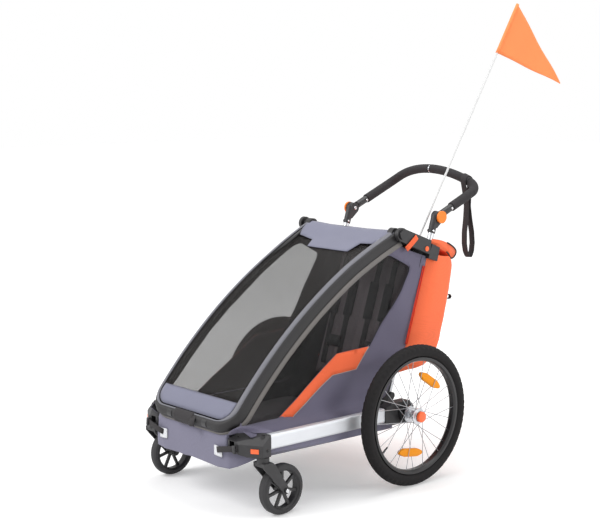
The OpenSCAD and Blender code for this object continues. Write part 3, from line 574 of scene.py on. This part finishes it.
for name, s in sides.items():
    rows = netOf(gusset["columns"], gusset["rows"], gussetPlace(s))
    piece = addGrid("cornerGusset." + name, rows, "slate", "chassis", "lining", s > 0)
    thicken(piece, gusset["depth"], True)
print("side cloth ready")


# tub: apron, side strips and floor as one gathered basin

tub = {"high": 268.0, "depth": 2.2, "lift": 4.0, "tuck": 9.0, "apron": (-640, 40), "floor": 182.0,
    "middle": -330.0, "rows": (0.0, 0.06, 0.14, 0.25, 0.4, 0.55, 0.7, 0.82, 0.91, 0.97, 1.0),
    "floorRows": ((0.985, -3), (0.95, 0), (0.93, 0), (0.8, 0), (0.5, 4), (0.2, 5)),
    "stations": [(0, -697, 0, -696, 156), (150, -697, 150, -698, 152), (188, -695, 196, -692, 154),
        (191, -680, 222, -676, 164), (191, -640, 246, -656, 178), (236, -628, 266, -636, 192),
        (284, -604, 283, -606, 206), (284, -560, 284, -560, 206), (284, -300, 284, -300, 196),
        (284, -60, 284, -60, 192), (280, -14, 278, -16, 192), (150, -12, 150, -14, 190),
        (0, -12, 0, -14, 188)]}


def tubLoop():
    # upper x, y, lower x, y and hem z round the whole basin, four steps from station to station
    half, stations = [], tub["stations"]
    for step in range(4 * (len(stations) - 1) + 1):
        k = min(len(stations) - 2, step // 4)
        half.append([mix(a, b, step / 4 - k) for a, b in zip(stations[k], stations[k + 1])])
    return half + [(-ux, uy, -lx, ly, hem) for ux, uy, lx, ly, hem in reversed(half[1:-1])]


def makeTub():
    loop, rows = tubLoop(), []
    front, over = tub["apron"]
    for v in tub["rows"]:
        bend = smooth((v - 0.25) / 0.5)
        row = []
        for ux, uy, lx, ly, hem in loop:
            ahead = smooth((front - uy) / over)
            x, y = mix(ux, lx, bend), mix(uy, ly, bend)
            z = mix(tub["high"] + tub["lift"] * ahead, hem, v)
            swell = ripple(x, y, z, 70, 3) + ripple(x, y * 1.5, z, 26, 1.0)
            tuck = tub["tuck"] * smooth((0.1 - v) / 0.1) * ahead
            z += 1.2 * swell if v > 0.9 else 0
            row.append(at(x * (1 + 0.004 * swell), y + 0.6 * swell + tuck, z))
        rows.append(row)
    for shrink, drop in tub["floorRows"]:
        row = []
        for _, _, lx, ly, hem in loop:
            z = mix(tub["floor"], hem, smooth((shrink - 0.9) / 0.08)) + drop * 0.6
            row.append(at(lx * shrink, mix(tub["middle"], ly, shrink), z))
        rows.append(row)
    # the basin wears the slate cloth painted lighter: painted light for the front-facing apron
    piece = addGrid("tubBasin", rows, "apron", "chassis", "lining", flip=True, around=True)
    thicken(piece, tub["depth"], True)
    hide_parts("tub")


makeTub()

# reflective tabs with buckle straps
tabs = {"x": 152.0, "y": -701.0, "low": 191.0, "wide": 42.0, "tall": 34.0, "slant": 2.0, "depth": 1.6,
    "strap": [(150, -703.5, 212), (164, -707, 216), (182, -708, 220), (204, -707, 225), (226, -704, 229),
        (240, -701, 231), (250, -697, 232)],
    "buckle": [(236, -704.5, 229), (241, -705, 230), (246, -703.5, 231)]}


def makeTab(name, s):
    half, tall, slant = tabs["wide"] / 2, tabs["tall"], tabs["slant"]
    rim = [(-half, 0), (half, -slant), (half, tall - slant), (-half, tall)]

    def place(a, b):
        return at(s * (tabs["x"] + a), tabs["y"] - 1.5 * math.cos(a / 12), tabs["low"] + b)

    tab = addPatch("reflectiveTab." + name, rounded(rim, 4), place, "tab", "chassis", 6, flip=s < 0)
    thicken(tab, tabs["depth"])
    strap, buckle = ([at(s * x, y, z) for x, y, z in tabs[key]] for key in ("strap", "buckle"))
    addWebbing("tabStrap." + name, strap, Vector((0, 0, 1)), 20, 2.4, "webbing", "chassis")
    addWebbing("strapBuckle." + name, buckle, Vector((0, 0, 1)), 28, 6, "black", "chassis")
    return tab


tabPieces = [makeTab(name, s) for name, s in sides.items()]
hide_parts("front_straps")
print("tub ready")


# bow cover: rim strips all round, film, lower flap, zip tab and sun flap

rim = {"wider": [(112.9, 14), (116, 8), (120, 1), (141, 0)], "top": 112.9, "steps": 46, "cornerSteps": 12,
    "barSteps": 8, "blend": 11, "depth": 1.4}
# section along the sides and section along the front bar: outward, up from the tube's middle
rimBands = {
    "greyTrim": ("trim", [(-14, 13.5), (-13, 16), (-10, 17), (-4, 15.8), (1, 13), (4.4, 10.4), (3, 9)],
        [(-14, 13.5), (-13, 16), (-12, 17), (-10.8, 17.4), (-9.4, 17.2), (-8, 16.8), (-8.8, 15)]),
    "bowBand": ("band", [(3.4, 10), (4.6, 10.2), (9.4, 4.4), (14, -6), (16.4, -15), (17.8, -25), (16, -26)],
        [(-8.6, 16), (-7, 17), (3, 16), (11, 11), (16.5, 2), (18.2, -14), (16.6, -16)]),
    "lowTrim": ("lowTrim", [(17, -23), (19, -24), (20.4, -32), (21, -40), (19, -41)],
        [(17.4, -13), (19, -14), (20, -18), (20.6, -22), (19, -23)]),
}


def rimPath():
    # place, outward way and face way along the near half, from the roof pivot to the middle of the front bar
    path, corner, half = [], bow["corner"], bow["half"] + 1
    for k in range(rim["steps"] + 1):
        angle = mix(rim["top"], bow["foot"], k / rim["steps"])
        a = math.radians(angle)
        place = bowPoint(half + along(rim["wider"], angle), bow["radius"], angle)
        path.append((place, Vector((1, 0, 0)), Vector((0, math.cos(a), math.sin(a)))))
    middle = half - corner
    for k in range(1, rim["cornerSteps"] + 1):
        a = math.pi / 2 * k / rim["cornerSteps"]
        outward = Vector((math.cos(a), 0, 0)) + footDown * math.sin(a)
        path.append((footPoint(middle + corner * math.cos(a), corner * math.sin(a), 0), outward, footNormal))
    for k in range(1, rim["barSteps"] + 1):
        path.append((footPoint(middle * (1 - k / rim["barSteps"]), corner, 0), footDown, footNormal))
    return path


def mirrored(v):
    return Vector((-v.x, v.y, v.z))


nearRim = rimPath()
wholeRim = nearRim + [(mirrored(p), mirrored(s), mirrored(n)) for p, s, n in reversed(nearRim[:-1])]
for name, (look, section, barSection) in rimBands.items():
    rows = []
    for k, (p, s, n) in enumerate(wholeRim):
        t = smooth((min(k, len(wholeRim) - 1 - k) - rim["steps"]) / rim["blend"])
        blended = [(mix(a, c, t), mix(b, d, t)) for (a, b), (c, d) in zip(section, barSection)]
        rows.append([p + s * (out / 1000) + n * (up / 1000) for out, up in blended])
    piece = thicken(addGrid(name, rows, look, "bow", flip=True), rim["depth"])

coverFilm = {"half": 203.0, "top": 113.4, "low": 140.4, "sag": 5.0, "depth": 0.8, "columns": 16, "rows": 40,
    "lift": [(113.4, -1), (117.4, 0), (120.5, 10), (124, 14), (141, 14)]}


def filmPoint(t, across):
    u = 2 * across - 1
    x, angle = coverFilm["half"] * u, mix(coverFilm["top"], coverFilm["low"], t)
    dip = coverFilm["sag"] * (1 - u ** 2) * math.sin(math.pi * smooth(t))
    wave = ripple(x, angle * 30, 5, 90, 1.6) * (1 - abs(u) ** 4)
    return bowPoint(x, bow["radius"] + along(coverFilm["lift"], angle) - dip + wave, angle)


rows = netOf(coverFilm["rows"], coverFilm["columns"], filmPoint)
film = thicken(addGrid("coverFilm", rows, "film", "bow", flip=True), coverFilm["depth"])
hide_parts("front_cover")

lowerFlap = {"half": 197.0, "top": -20.0, "low": 51.0, "corner": 50.0, "out": 12.0, "puff": 2.0, "depth": 1.4}


def flapPlace(x, down):
    t = (down - lowerFlap["top"]) / (lowerFlap["low"] - lowerFlap["top"])
    out = lowerFlap["out"] + lowerFlap["puff"] * math.sin(math.pi * t) + ripple(x, down, 1, 60, 1.2)
    if down >= 0:
        return footPoint(x, down, out)
    return bowPoint(x, bow["radius"] + out, bow["foot"] + math.degrees(down / bow["radius"]))


def flapOutline():
    half, low, corner = lowerFlap["half"], lowerFlap["low"], lowerFlap["corner"]
    turns = [(corner * math.cos(a), corner * math.sin(a)) for a in (k * math.pi / 16 for k in range(9))]
    outline = [(-half, lowerFlap["top"]), (half, lowerFlap["top"])]
    outline += [(half - corner + c, low - corner + s) for c, s in turns]
    return outline + [(-half + corner - s, low - corner + c) for c, s in turns]


flap = addPatch("lowerFlap", flapOutline(), flapPlace, "lilac", "bow", 13, flip=True)
thicken(flap, lowerFlap["depth"])

# pull tab over the middle of the front bar: down, outward; bent in at one end
zipTab = {"left": -70.0, "right": 34.0, "steps": 12, "depth": 2.2,
    "section": [(54, 15.5), (60, 18), (72, 18.5), (84, 15), (91, 6), (94, -6)],
    "bent": (94, -10), "bentFrom": 11, "pull": [(38, 66, 17), (42, 84, 17), (46, 100, 10)]}
rows = []
for k in range(zipTab["steps"] + 1):
    x = mix(zipTab["left"], zipTab["right"], k / zipTab["steps"])
    section = zipTab["section"][:-1] + [zipTab["bent"]] if k >= zipTab["bentFrom"] else zipTab["section"]
    rows.append([footPoint(x, down, out) for down, out in section])
tab = thicken(addGrid("zipTab", rows, "webbing", "bow"), zipTab["depth"])
pullPath = [footPoint(x, down, out) for x, down, out in zipTab["pull"]]
addWebbing("zipPull", pullPath, Vector((1, 0, 0)), 24, 2.2, "webbing", "bow")

# sun flap with a stepped lower edge: x, angle on the bow
sunFlap = {"lift": 2.5, "flare": 5.0, "rise": 8.5, "depth": 1.6, "scale": 31,
    "rim": [(-226, 112.75), (226, 112.75), (213, 114.4), (190, 115.5), (134, 115.6), (119, 117.4),
        (-92, 117.4), (-108, 116.0), (-128, 115.9), (-192, 115.5), (-213, 114.4)]}


def sunPlace(x, scaled):
    # scaled: millimetres along the bow in place of degrees, so that the net is even
    angle = scaled / sunFlap["scale"]
    edge = smooth((119.5 - angle) / 6.2) * smooth((abs(x) - 60) / 150)
    rise = sunFlap["rise"] * smooth((115.5 - angle) / 2.5)
    wave = ripple(x, scaled, 4, 70, 3.0) * (1 - abs(x) / 240)
    return bowPoint(x, bow["radius"] + sunFlap["lift"] + sunFlap["flare"] * edge + rise + wave, angle)


sunRim = [(x, angle * sunFlap["scale"]) for x, angle in sunFlap["rim"]]
sun = thicken(addPatch("sunFlap", sunRim, sunPlace, "lilac", "bow", 14, flip=True), sunFlap["depth"])
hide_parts("roof_flap")
print("bow cover ready")


# rear roof, bag lid with rolled edge, pull straps and pennant ride on the brackets

rearRoof = {"line": [(46, 868), (90, 860), (140, 849), (190, 839), (226, 829)], "half": 205.0, "crown": 5.0,
    "columns": 24, "depth": 1.8}
rows = []
for y, z in rearRoof["line"]:
    row = []
    for j in range(rearRoof["columns"] + 1):
        u = 2 * j / rearRoof["columns"] - 1
        x, crown = rearRoof["half"] * u, rearRoof["crown"] * math.cos(u * math.pi / 2)
        row.append(at(x, y, z + crown + ripple(x, y, z, 80, 3)))
    rows.append(row)
roof = addGrid("rearRoof", rows, "slate", "roof_brackets", "lining")
thicken(roof, rearRoof["depth"], True)
fine = roof.modifiers.new("refine", "SUBSURF")
fine.levels = 1
fine.render_levels = 1
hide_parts("rear_roof")

lid = {"half": 244.0, "columns": 40, "sag": -5.0, "front": 212.0, "rolled": 285.0, "piping": 2.6,
    "rim": [(212, 838), (240, 838), (270, 831), (300, 819), (326, 804), (340, 790), (339, 777), (328, 765),
        (315, 761), (306, 768), (299, 782), (280, 793), (250, 806), (212, 820)]}
lidRim = rounded(lid["rim"], 9, 3)
rows = []
for j in range(lid["columns"] + 1):
    t = j / lid["columns"]
    x = lid["half"] * (2 * t - 1)
    sagging = lid["sag"] * math.sin(math.pi * t) + ripple(x, 3, 1, 60, 3)
    row = []
    for y, z in lidRim:
        row.append(at(x, y + ripple(x, y, 7, 50, 2), z + sagging * smooth((y - lid["front"]) / 60)))
    rows.append(row)
lidPiece = addLoft("bagLid", rows, "orange", "roof_brackets")
for name, s in sides.items():
    path = [at(s * (lid["half"] + 0.5), y, z) for y, z in lidRim if y > lid["rolled"]]
    addTube("lidEnd." + name, path, lid["piping"], "band", "roof_brackets")

pullStrap = {"x": 264.4, "bulge": 1.6, "depth": 1.8, "width": 21.0, "across": (0, -0.6, 0.8),
    "line": [(111, 860), (104, 854), (92, 845), (80, 836), (68, 827), (58, 819)]}
for name, s in sides.items():
    path = []
    for k, (y, z) in enumerate(pullStrap["line"]):
        path.append(at(s * (pullStrap["x"] + pullStrap["bulge"] * math.sin(k * math.pi / 5)), y, z))
    strap = addWebbing("pullStrap." + name, path, Vector(pullStrap["across"]), pullStrap["width"],
        pullStrap["depth"], "orangeWebbing", "roof_brackets")
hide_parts("pull_straps")

pennant = {"x": 190.0, "foot": (172.0, 800.0), "lean": math.radians(31.8), "pole": 1050.0, "tall": 216.0,
    "tip": (300.0, 858.5, 1391.5), "columns": 40, "rows": 12, "blunt": 0.985, "wave": 9.0, "depth": 0.9,
    "sleeve": 6.2}


def onPole(up):
    y, z = pennant["foot"]
    return Vector((pennant["x"], y + up * math.sin(pennant["lean"]), z + up * math.cos(pennant["lean"])))


low, high, tip = onPole(pennant["pole"] - pennant["tall"]), onPole(pennant["pole"]), Vector(pennant["tip"])
face = (tip - low).cross(high - low).normalized()


def pennantPlace(t, up):
    u = pennant["blunt"] * t
    wave = pennant["wave"] * math.sin(3 * math.pi * u) * u * (1 - 0.5 * u)
    return at(*(low.lerp(high, up).lerp(tip, u) + face * wave))


rows = netOf(pennant["columns"], pennant["rows"], pennantPlace)
flag = thicken(addGrid("pennant", rows, "flag", "roof_brackets"), pennant["depth"], offset=0)
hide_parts("flag_pennant")
path = [at(*low.lerp(high, k / 10)) for k in range(11)]
sleeve = addTube("pennantSleeve", path, pennant["sleeve"], "flag", "roof_brackets", 12)
print("roof pieces ready")


# rear bag: a sewn shell behind the uprights

bag = {"half": 248.0, "corner": 34.0, "narrow": 16.0, "taper": 46.0, "bulge": 5.0, "hollow": 14.0,
    "foot": 84.0, "top": 528.0, "rows": 44, "mouth": 12.0, "mouthFrom": 470.0, "keep": 0.3,
    "front": [(84, -33), (130, -23), (183, -20), (528, -19)],
    "back": [(84, -16), (97, 28), (114, 72), (135, 110), (168, 142), (202, 156), (236, 160), (311, 161),
        (384, 157), (420, 153), (470, 146), (505, 139), (528, 122)],
    "seams": [(-31, 2.0), (-23, 1.6)], "loopX": 236.0,
    "loop": [(149, 392), (159, 396), (161, 404), (152, 409)]}


def bagLoop(up, back):
    # one level of the shell: the back with its round corners, then the hollow front
    side = bag["half"] - bag["narrow"] * (1 - smooth((up - bag["foot"]) / bag["taper"]))
    front = min(along(bag["front"], up), back - 8)
    inner = min(bag["hollow"], back - 4)
    r = min(bag["corner"], (back - front) * 0.45)
    turns = [(r * math.cos(a), r * math.sin(a)) for a in (k * math.pi / 12 for k in range(7))]
    loop = [(-side, front), (-side, (front + back) / 2)]
    loop += [(-side + r - c, back - r + s) for c, s in turns]
    loop += [(x * side / 6 * 0.8, back + bag["bulge"] * (1 - (x / 6) ** 2)) for x in range(-4, 5)]
    loop += [(side - r + s, back - r + c) for c, s in turns]
    loop += [(side, (front + back) / 2), (side, front)]
    loop += [(x * side / 8 * 0.9, inner if abs(x) < 7 else min(front + 6, inner)) for x in range(7, -8, -1)]
    return loop


rows = []
for k in range(bag["rows"] + 1):
    up = mix(bag["foot"], bag["top"], k / bag["rows"])
    row = []
    for x, across in bagLoop(up, along(bag["back"], up)):
        sagging = ripple(x, across, up, 90, 4) + ripple(x, across, up, 34, 1.4)
        mouth = bag["mouth"] * smooth((up - bag["mouthFrom"]) / 58) * smooth((across - 20) / 70)
        y, z = onLine(across + 0.7 * sagging * (across > 20), up + mouth)
        row.append(at(x + 0.4 * sagging * (abs(x) > 200), y, z))
    rows.append(row)
bagShell = addLoft("rearBag", rows, "orange", "uprights", flip=True)
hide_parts("rear_bag")
bagTrims = []
for name, s in sides.items():
    for number, (across, out) in enumerate(bag["seams"]):
        path = [at(s * (bag["half"] + out), *onLine(across, 190 + k * 32)) for k in range(10)]
        bagTrims.append(addTube("bagSeam%d.%s" % (number, name), path, 2.0, "seam", "uprights"))
    loop = [at(s * bag["loopX"], *onLine(across, up)) for across, up in bag["loop"]]
    bagTrims.append(addWebbing("bagLoop." + name, loop, Vector((1, 0, 0)), 14, 2.4, "webbing", "uprights"))
for piece in [bagShell] + bagTrims:
    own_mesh(piece)


# padded seat and back, inflated as cloth

def padMesh(name, pad, place, look, body):
    m, n, draw = 44, 36, pad["draw"]

    def height(u, v):
        dip = max(math.exp(-((u - c) / 0.035) ** 2) for c in pad["channels"])
        full = (pad["tall"] - pad["rim"]) * (1 - abs(u) ** 6) * (1 - abs(v) ** 6)
        return pad["rim"] + full * (1 - 0.45 * dip)

    top, base = [], []
    for i in range(m + 1):
        u = 2 * i / m - 1
        for j in range(n + 1):
            v = 2 * j / n - 1
            x = u * (pad["wide"] / 2 - draw * (1 - v * v))
            y = v * (pad["long"] / 2 - draw * (1 - u * u))
            top.append(place(x, y, height(u, v)))
            base.append(place(x, y, 0))
    size = (m + 1) * (n + 1)
    net = gridFaces(m + 1, n + 1)
    faces = list(net) + [tuple(size + k for k in reversed(f)) for f in net]
    border = [k * (n + 1) for k in range(m + 1)] + [m * (n + 1) + k for k in range(1, n + 1)] + \
        [k * (n + 1) + n for k in range(m - 1, -1, -1)] + list(range(n - 1, 0, -1))
    faces += [(border[k], border[k - 1], size + border[k - 1], size + border[k]) for k in range(len(border))]
    return addPiece(name, top + base, faces, look, body, flip=True)


def inflate(piece, cap, pressure=4.0, voxel=0.006):
    # cloth under pressure for a few frames, its movement capped
    bpy.context.view_layer.objects.active = piece
    remesh = piece.modifiers.new("net", "REMESH")
    remesh.mode = "VOXEL"
    remesh.voxel_size = voxel
    bpy.ops.object.select_all(action="DESELECT")
    piece.select_set(True)
    bpy.ops.object.modifier_apply(modifier="net")
    before = [v.co.copy() for v in piece.data.vertices]
    puff = piece.modifiers.new("puff", "CLOTH")
    puff.settings.use_pressure = True
    puff.settings.uniform_pressure_force = pressure
    puff.settings.effector_weights.gravity = 0
    puff.settings.quality = 4
    for step in range(1, 21):
        scene.frame_set(step)
    moved = piece.evaluated_get(bpy.context.evaluated_depsgraph_get()).to_mesh()
    after = [v.co.copy() for v in moved.vertices]
    piece.modifiers.remove(puff)
    scene.frame_set(1)
    for vertex, a, b in zip(piece.data.vertices, before, after):
        shift = b - a
        if shift.length > cap:
            shift = shift.normalized() * cap
        vertex.co = a + shift
    piece.data.polygons.foreach_set("use_smooth", [True] * len(piece.data.polygons))
    print("inflated", piece.name, len(before))


seat = {"wide": 512.0, "long": 388.0, "tall": 50.0, "rim": 22.0, "draw": 8, "channels": (0,),
    "y": -228.0, "z": 183.0}


def seatPlace(x, y, h):
    return at(x, seat["y"] + y, seat["z"] + h)


seatPad = padMesh("seatPad", seat, seatPlace, "seat", "chassis")
inflate(seatPad, 0.006)
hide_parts("seat_cushion")

back = {"wide": 372.0, "long": 500.0, "tall": 30.0, "rim": 12.0, "draw": 6, "channels": (-0.5, 0, 0.5),
    "middle": 268.0, "rest": -12.5}


def backPlace(x, up, h):
    return at(x, *onLine(back["rest"] - h, back["middle"] + up))


backPad = padMesh("backPad", back, backPlace, "backPanel", "uprights")
inflate(backPad, 0.005)
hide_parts("backrest")

# dark lining behind the seat back, from floor to roof and round to the side cloth; its dark colour is partly
# the real lining and partly painted shade inside the cabin
lining = {"low": -58.0, "high": 566.0, "behind": -11.6, "front": -38.0, "widest": 262.0, "clear": 1.5,
    "wings": [(0, 0), (120, 0), (160, 0), (182, 0.5), (194, 1), (222, 1), (232, 1)],
    "edge": [(-58, -98), (-5, -82), (73, -68), (184, -48), (570, -46)]}


def liningRow(up):
    half = [(x, mix(lining["behind"], lining["front"], t)) for x, t in lining["wings"]]
    reach = along(lining["edge"], up)
    half.append((min(sideX(*onLine(reach, up)), lining["widest"]) - lining["clear"], reach))
    whole = [(-x, across) for x, across in reversed(half[1:])] + half
    return [at(x, *onLine(across, up)) for x, across in whole]


rows = [liningRow(mix(lining["low"], lining["high"], i / 16)) for i in range(17)]
curtain = thicken(addGrid("rearLining", rows, "lining", "uprights"), 0.8)

# two five-point harnesses on the back
harness = {"front": -46.0, "x": (52, 128), "belt": (26, 2.4), "pad": (40, 9), "buckle": (42, 10), "reach": 30}
belts = []
for name, s in sides.items():
    for number, x in enumerate(harness["x"]):
        tag, wide = "%d.%s" % (number, name), Vector((1, 0, 0))
        path = []
        for k in range(11):
            y, z = onLine(harness["front"] - 3 * math.sin(k / 9 * math.pi), 60 + k * 42)
            path.append(at(s * (x + 3 * math.sin(k / 3)), y, z))
        belts.append(addWebbing("belt" + tag, path, wide, *harness["belt"], "webbing", "uprights"))
        path = [at(s * (x + 1), *onLine(harness["front"] - 6, 250 + k * 20)) for k in range(8)]
        belts.append(addWebbing("beltPad" + tag, path, wide, *harness["pad"], "lining", "uprights"))
    middle, reach = sum(harness["x"]) / 2, harness["reach"]
    path = [at(s * x, *onLine(harness["front"] - 6, 150)) for x in (middle - reach, middle, middle + reach)]
    belts.append(addWebbing("beltBuckle." + name, path, Vector((0, 0.3, 0.95)), *harness["buckle"], "black",
        "uprights"))
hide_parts("harness")
for piece in [backPad, curtain] + belts:
    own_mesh(piece)
print("bag, seats and harness ready")


# wrist strap hangs in a loop from the cross grip

wrist = {"x": 171.0, "bar": (474.4, 1036.2), "grip": 20.6, "width": 23.0, "depth": 2.2, "lean": 0.055,
    "slope": (0.17, -0.45), "straight": 110.0,
    "fall": [(30, 15), (64, 8), (98, 5), (146, 11), (194, 20), (236, 22), (266, 17), (282, 9), (288, 3)]}
(barY, barZ), (slopeY, slopeZ) = wrist["bar"], wrist["slope"]
path = []
for k in range(13):
    a = math.radians(-15 + 210 * k / 12)
    path.append((barY + wrist["grip"] * math.cos(a), barZ + wrist["grip"] * math.sin(a)))
for side, depths in ((-1, wrist["fall"]), (1, wrist["fall"][::-1])):
    path += [(barY + side * out, barZ - down) for down, out in depths]
hangs = [smooth((barZ - z) / wrist["straight"]) for y, z in path]
points = [at(wrist["x"] + wrist["lean"] * max(0, barZ - z), y, z) for y, z in path]
across = [Vector((1, slopeY, slopeZ * (1 - hang))) for hang in hangs]
loop = addWebbing("wristStrap", points, across, wrist["width"], wrist["depth"], "webbing", "strap_loop", True)
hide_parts("wrist_strap")
gripBand = {"bar": (459.3, 1071.3), "half": 4.4, "radius": 15.5}
path = [at(x, *gripBand["bar"]) for x in (-gripBand["half"], gripBand["half"])]
addTube("gripBand", path, gripBand["radius"], "bright", "handlebar", 24)


# amber lenses, longer than the holders that carry them

amberLens = {"x": 367.0, "axle": (0.0, 250.0), "depth": 15.0, "places": [(75, 113), (-20, -130)],
    "layers": ((-0.5, 0.94), (-0.42, 1.0), (0.42, 1.0), (0.5, 0.94)),
    "rim": [(-14, -34), (-5, -57), (5, -57), (14, -34), (14, 34), (5, 57), (-5, 57), (-14, 34)]}
lensRim = rounded(amberLens["rim"], 6)
for name, s in sides.items():
    for number, (y, z) in enumerate(amberLens["places"]):
        out = Vector((y, z)).normalized()
        midY, midZ = amberLens["axle"][0] + y, amberLens["axle"][1] + z
        rows = []
        for shift, inset in amberLens["layers"]:
            x = s * amberLens["x"] + amberLens["depth"] * shift
            rows.append([at(x, midY + inset * (u * out.x - w * out.y), midZ + inset * (u * out.y + w * out.x))
                for u, w in lensRim])
        addLoft("amberLens%d.%s" % (number, name), rows, "amber", "wheel_" + name)


# tyres: ribbed shoulder, block tread, plain wall

tyre = {"x": 367.0, "radius": 250.0, "width": 47.0, "ring": 226.5, "steps": 264, "columns": 44, "wall": 160,
    "tread": 46, "shoulder": 72, "block": 1.8}
for name, s in sides.items():
    rows = []
    for k in range(tyre["steps"]):
        turn = 2 * math.pi * k / tyre["steps"]
        row = []
        for j in range(tyre["columns"] + 1):
            degrees = -tyre["wall"] + 2 * tyre["wall"] * j / tyre["columns"]
            if abs(degrees) < tyre["tread"]:
                block = (k // 2 + (j // 2)) % 2
            else:
                block = (k // 2) % 2 if abs(degrees) < tyre["shoulder"] else 0
            reach = tyre["width"] / 2 - tyre["block"] * (1 - block)
            a = math.radians(degrees)
            r = tyre["ring"] + reach * math.cos(a)
            x = s * tyre["x"] + reach * math.sin(a)
            row.append(at(x, r * math.cos(turn), tyre["radius"] + r * math.sin(turn)))
        rows.append(row)
    rows.append(rows[0])
    piece = addGrid("tyre." + name, rows, "rubber", "wheel_" + name)
    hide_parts("tyre_" + name)
print("straps and tyres ready")


# small fixings

def addScrew(name, centre, way, radius, body, look="screw"):
    # low domed head with a round recess
    way = way.normalized()
    up = way.orthogonal().normalized()
    side = way.cross(up)
    rings = [(1.0, 0), (1.0, 0.35), (0.85, 0.6), (0.5, 0.7), (0.46, 0.2), (0.02, 0.2)]
    rows = [[centre + (up * math.cos(a) + side * math.sin(a)) * radius * r / 1000 + way * radius * h / 1000
        for a in (2 * math.pi * k / 18 for k in range(18))] for r, h in rings]
    piece = addGrid(name, rows, look, body, around=True)


fixings = {"pivot": (260.5, 917.5), "tilt": math.radians(22.9), "post": 223.0, "cheek": 13.5, "sunk": 0.6,
    "eye": 70.0, "sleeve": (-5.0, 612.0), "caster": (334.0, -558.0, 85.0), "corner": (320.0, -628.0, 228.0)}
pivotY, pivotZ = fixings["pivot"]
eyeY = pivotY + fixings["eye"] * math.cos(fixings["tilt"])
eyeZ = pivotZ + fixings["eye"] * math.sin(fixings["tilt"])
for name, s in sides.items():
    for face, out in (("Outer", s), ("Inner", -s)):
        x = s * fixings["post"] + out * (fixings["cheek"] - fixings["sunk"])
        tag, way = face + "." + name, Vector((out, 0, 0))
        addScrew("eyeScrew" + tag, at(x, eyeY, eyeZ), way, 4.5, "handlebar")
        addScrew("postScrew" + tag, at(x, *onLine(*fixings["sleeve"])), way, 4.5, "roof_brackets")
    pivot = at(s * (fixings["post"] - fixings["cheek"]), pivotY, pivotZ)
    addScrew("pivotScrew." + name, pivot, Vector((-s, 0, 0)), 7, "roof_brackets")
    caster, corner = (at(s * x, y, z) for x, y, z in (fixings["caster"], fixings["corner"]))
    addScrew("casterBolt." + name, caster, Vector((s, 0, 0)), 7, "caster_" + name)
    addScrew("cornerBolt." + name, corner, Vector((s, 0, 0)), 5, "chassis", "black")
print("fixings ready")


# stage, light and camera

def seenRay(tree):
    # 1 for rays that the camera sees directly, as a reflection or through glass
    path = tree.nodes.new("ShaderNodeLightPath").outputs
    reflected = mathNode(tree, "MAXIMUM", path["Is Camera Ray"], path["Is Glossy Ray"])
    return mathNode(tree, "MAXIMUM", reflected, path["Is Transmission Ray"])


stage = {"size": 40.0, "floor": (0.82, 0.82, 0.82, 1), "rough": 0.9, "glow": (0.27, 0.52),
    "reach": (0.7, 3.0), "world": 0.62}
mesh = bpy.data.meshes.new("floor")
h = stage["size"] / 2
mesh.from_pydata([(-h, -h, 0), (h, -h, 0), (h, h, 0), (-h, h, 0)], [], [(0, 1, 2, 3)])
floor = bpy.data.objects.new("floor", mesh)
scene.collection.objects.link(floor)
paper = bpy.data.materials.new("paleFloor")
paper.use_nodes = True
tree = paper.node_tree
surface = tree.nodes["Principled BSDF"]
surface.inputs["Base Color"].default_value = stage["floor"]
surface.inputs["Roughness"].default_value = stage["rough"]
where = addNode(tree, "ShaderNodeTexCoord").outputs["Object"]
away = addNode(tree, "ShaderNodeVectorMath", {0: where}, operation="LENGTH").outputs["Value"]
(near, far), (least, most) = stage["reach"], stage["glow"]
ramp = addNode(tree, "ShaderNodeMapRange", {"Value": away, "From Min": near, "From Max": far, "To Min": least,
    "To Max": most}, interpolation_type="SMOOTHSTEP")
glow = addNode(tree, "ShaderNodeEmission", {"Strength": ramp.outputs["Result"]})
both = addNode(tree, "ShaderNodeAddShader", {0: surface.outputs[0], 1: glow.outputs[0]})
shown = addNode(tree, "ShaderNodeMixShader", {0: seenRay(tree), 1: surface.outputs[0], 2: both.outputs[0]})
tree.links.new(shown.outputs[0], tree.nodes["Material Output"].inputs["Surface"])
floor.data.materials.append(paper)

world = bpy.data.worlds.new("studio")
scene.world = world
world.use_nodes = True
tree = world.node_tree
backdrop = tree.nodes["Background"]
backdrop.inputs["Color"].default_value = white
extra = mathNode(tree, "MULTIPLY", seenRay(tree), 1 - stage["world"])
tree.links.new(mathNode(tree, "ADD", extra, stage["world"]), backdrop.inputs["Strength"])


def addLamp(name, place, target, size, power):
    lamp = bpy.data.lights.new(name, "AREA")
    lamp.shape = "DISK"
    lamp.size = size
    lamp.energy = power
    body = bpy.data.objects.new(name, lamp)
    body.location = place
    body.rotation_euler = (Vector(target) - Vector(place)).to_track_quat("-Z", "Y").to_euler()
    scene.collection.objects.link(body)


addLamp("keyLamp", (-1.4, -3.6, 3.4), (0, 0, 0.4), 2.4, 130)
addLamp("sideLamp", (3.4, 1.2, 1.7), (0.26, 0.2, 0.6), 1.6, 38)
addLamp("topLamp", (0.3, 0.6, 4.2), (0, 0, 0.3), 3.0, 70)

# lens, place and turn fitted to the wheels, rails and handlebar; azimuth from the front towards the left
view = {"place": (3561.5, -3348.3, 1429.5), "azimuth": 48.6, "elevation": 8.0, "lens": 81.21, "sensor": 36.0}
a, e = math.radians(view["azimuth"]), math.radians(view["elevation"])
behind = Vector((math.sin(a) * math.cos(e), -math.cos(a) * math.cos(e), math.sin(e)))
photoLens = bpy.data.cameras.new("photoCamera")
photoLens.lens = view["lens"]
photoLens.sensor_width = view["sensor"]
photoLens.sensor_fit = "HORIZONTAL"
camera = bpy.data.objects.new("photoCamera", photoLens)
camera.location = at(*view["place"])
camera.rotation_euler = behind.to_track_quat("Z", "Y").to_euler()
scene.collection.objects.link(camera)
scene.camera = camera
print("stage ready")
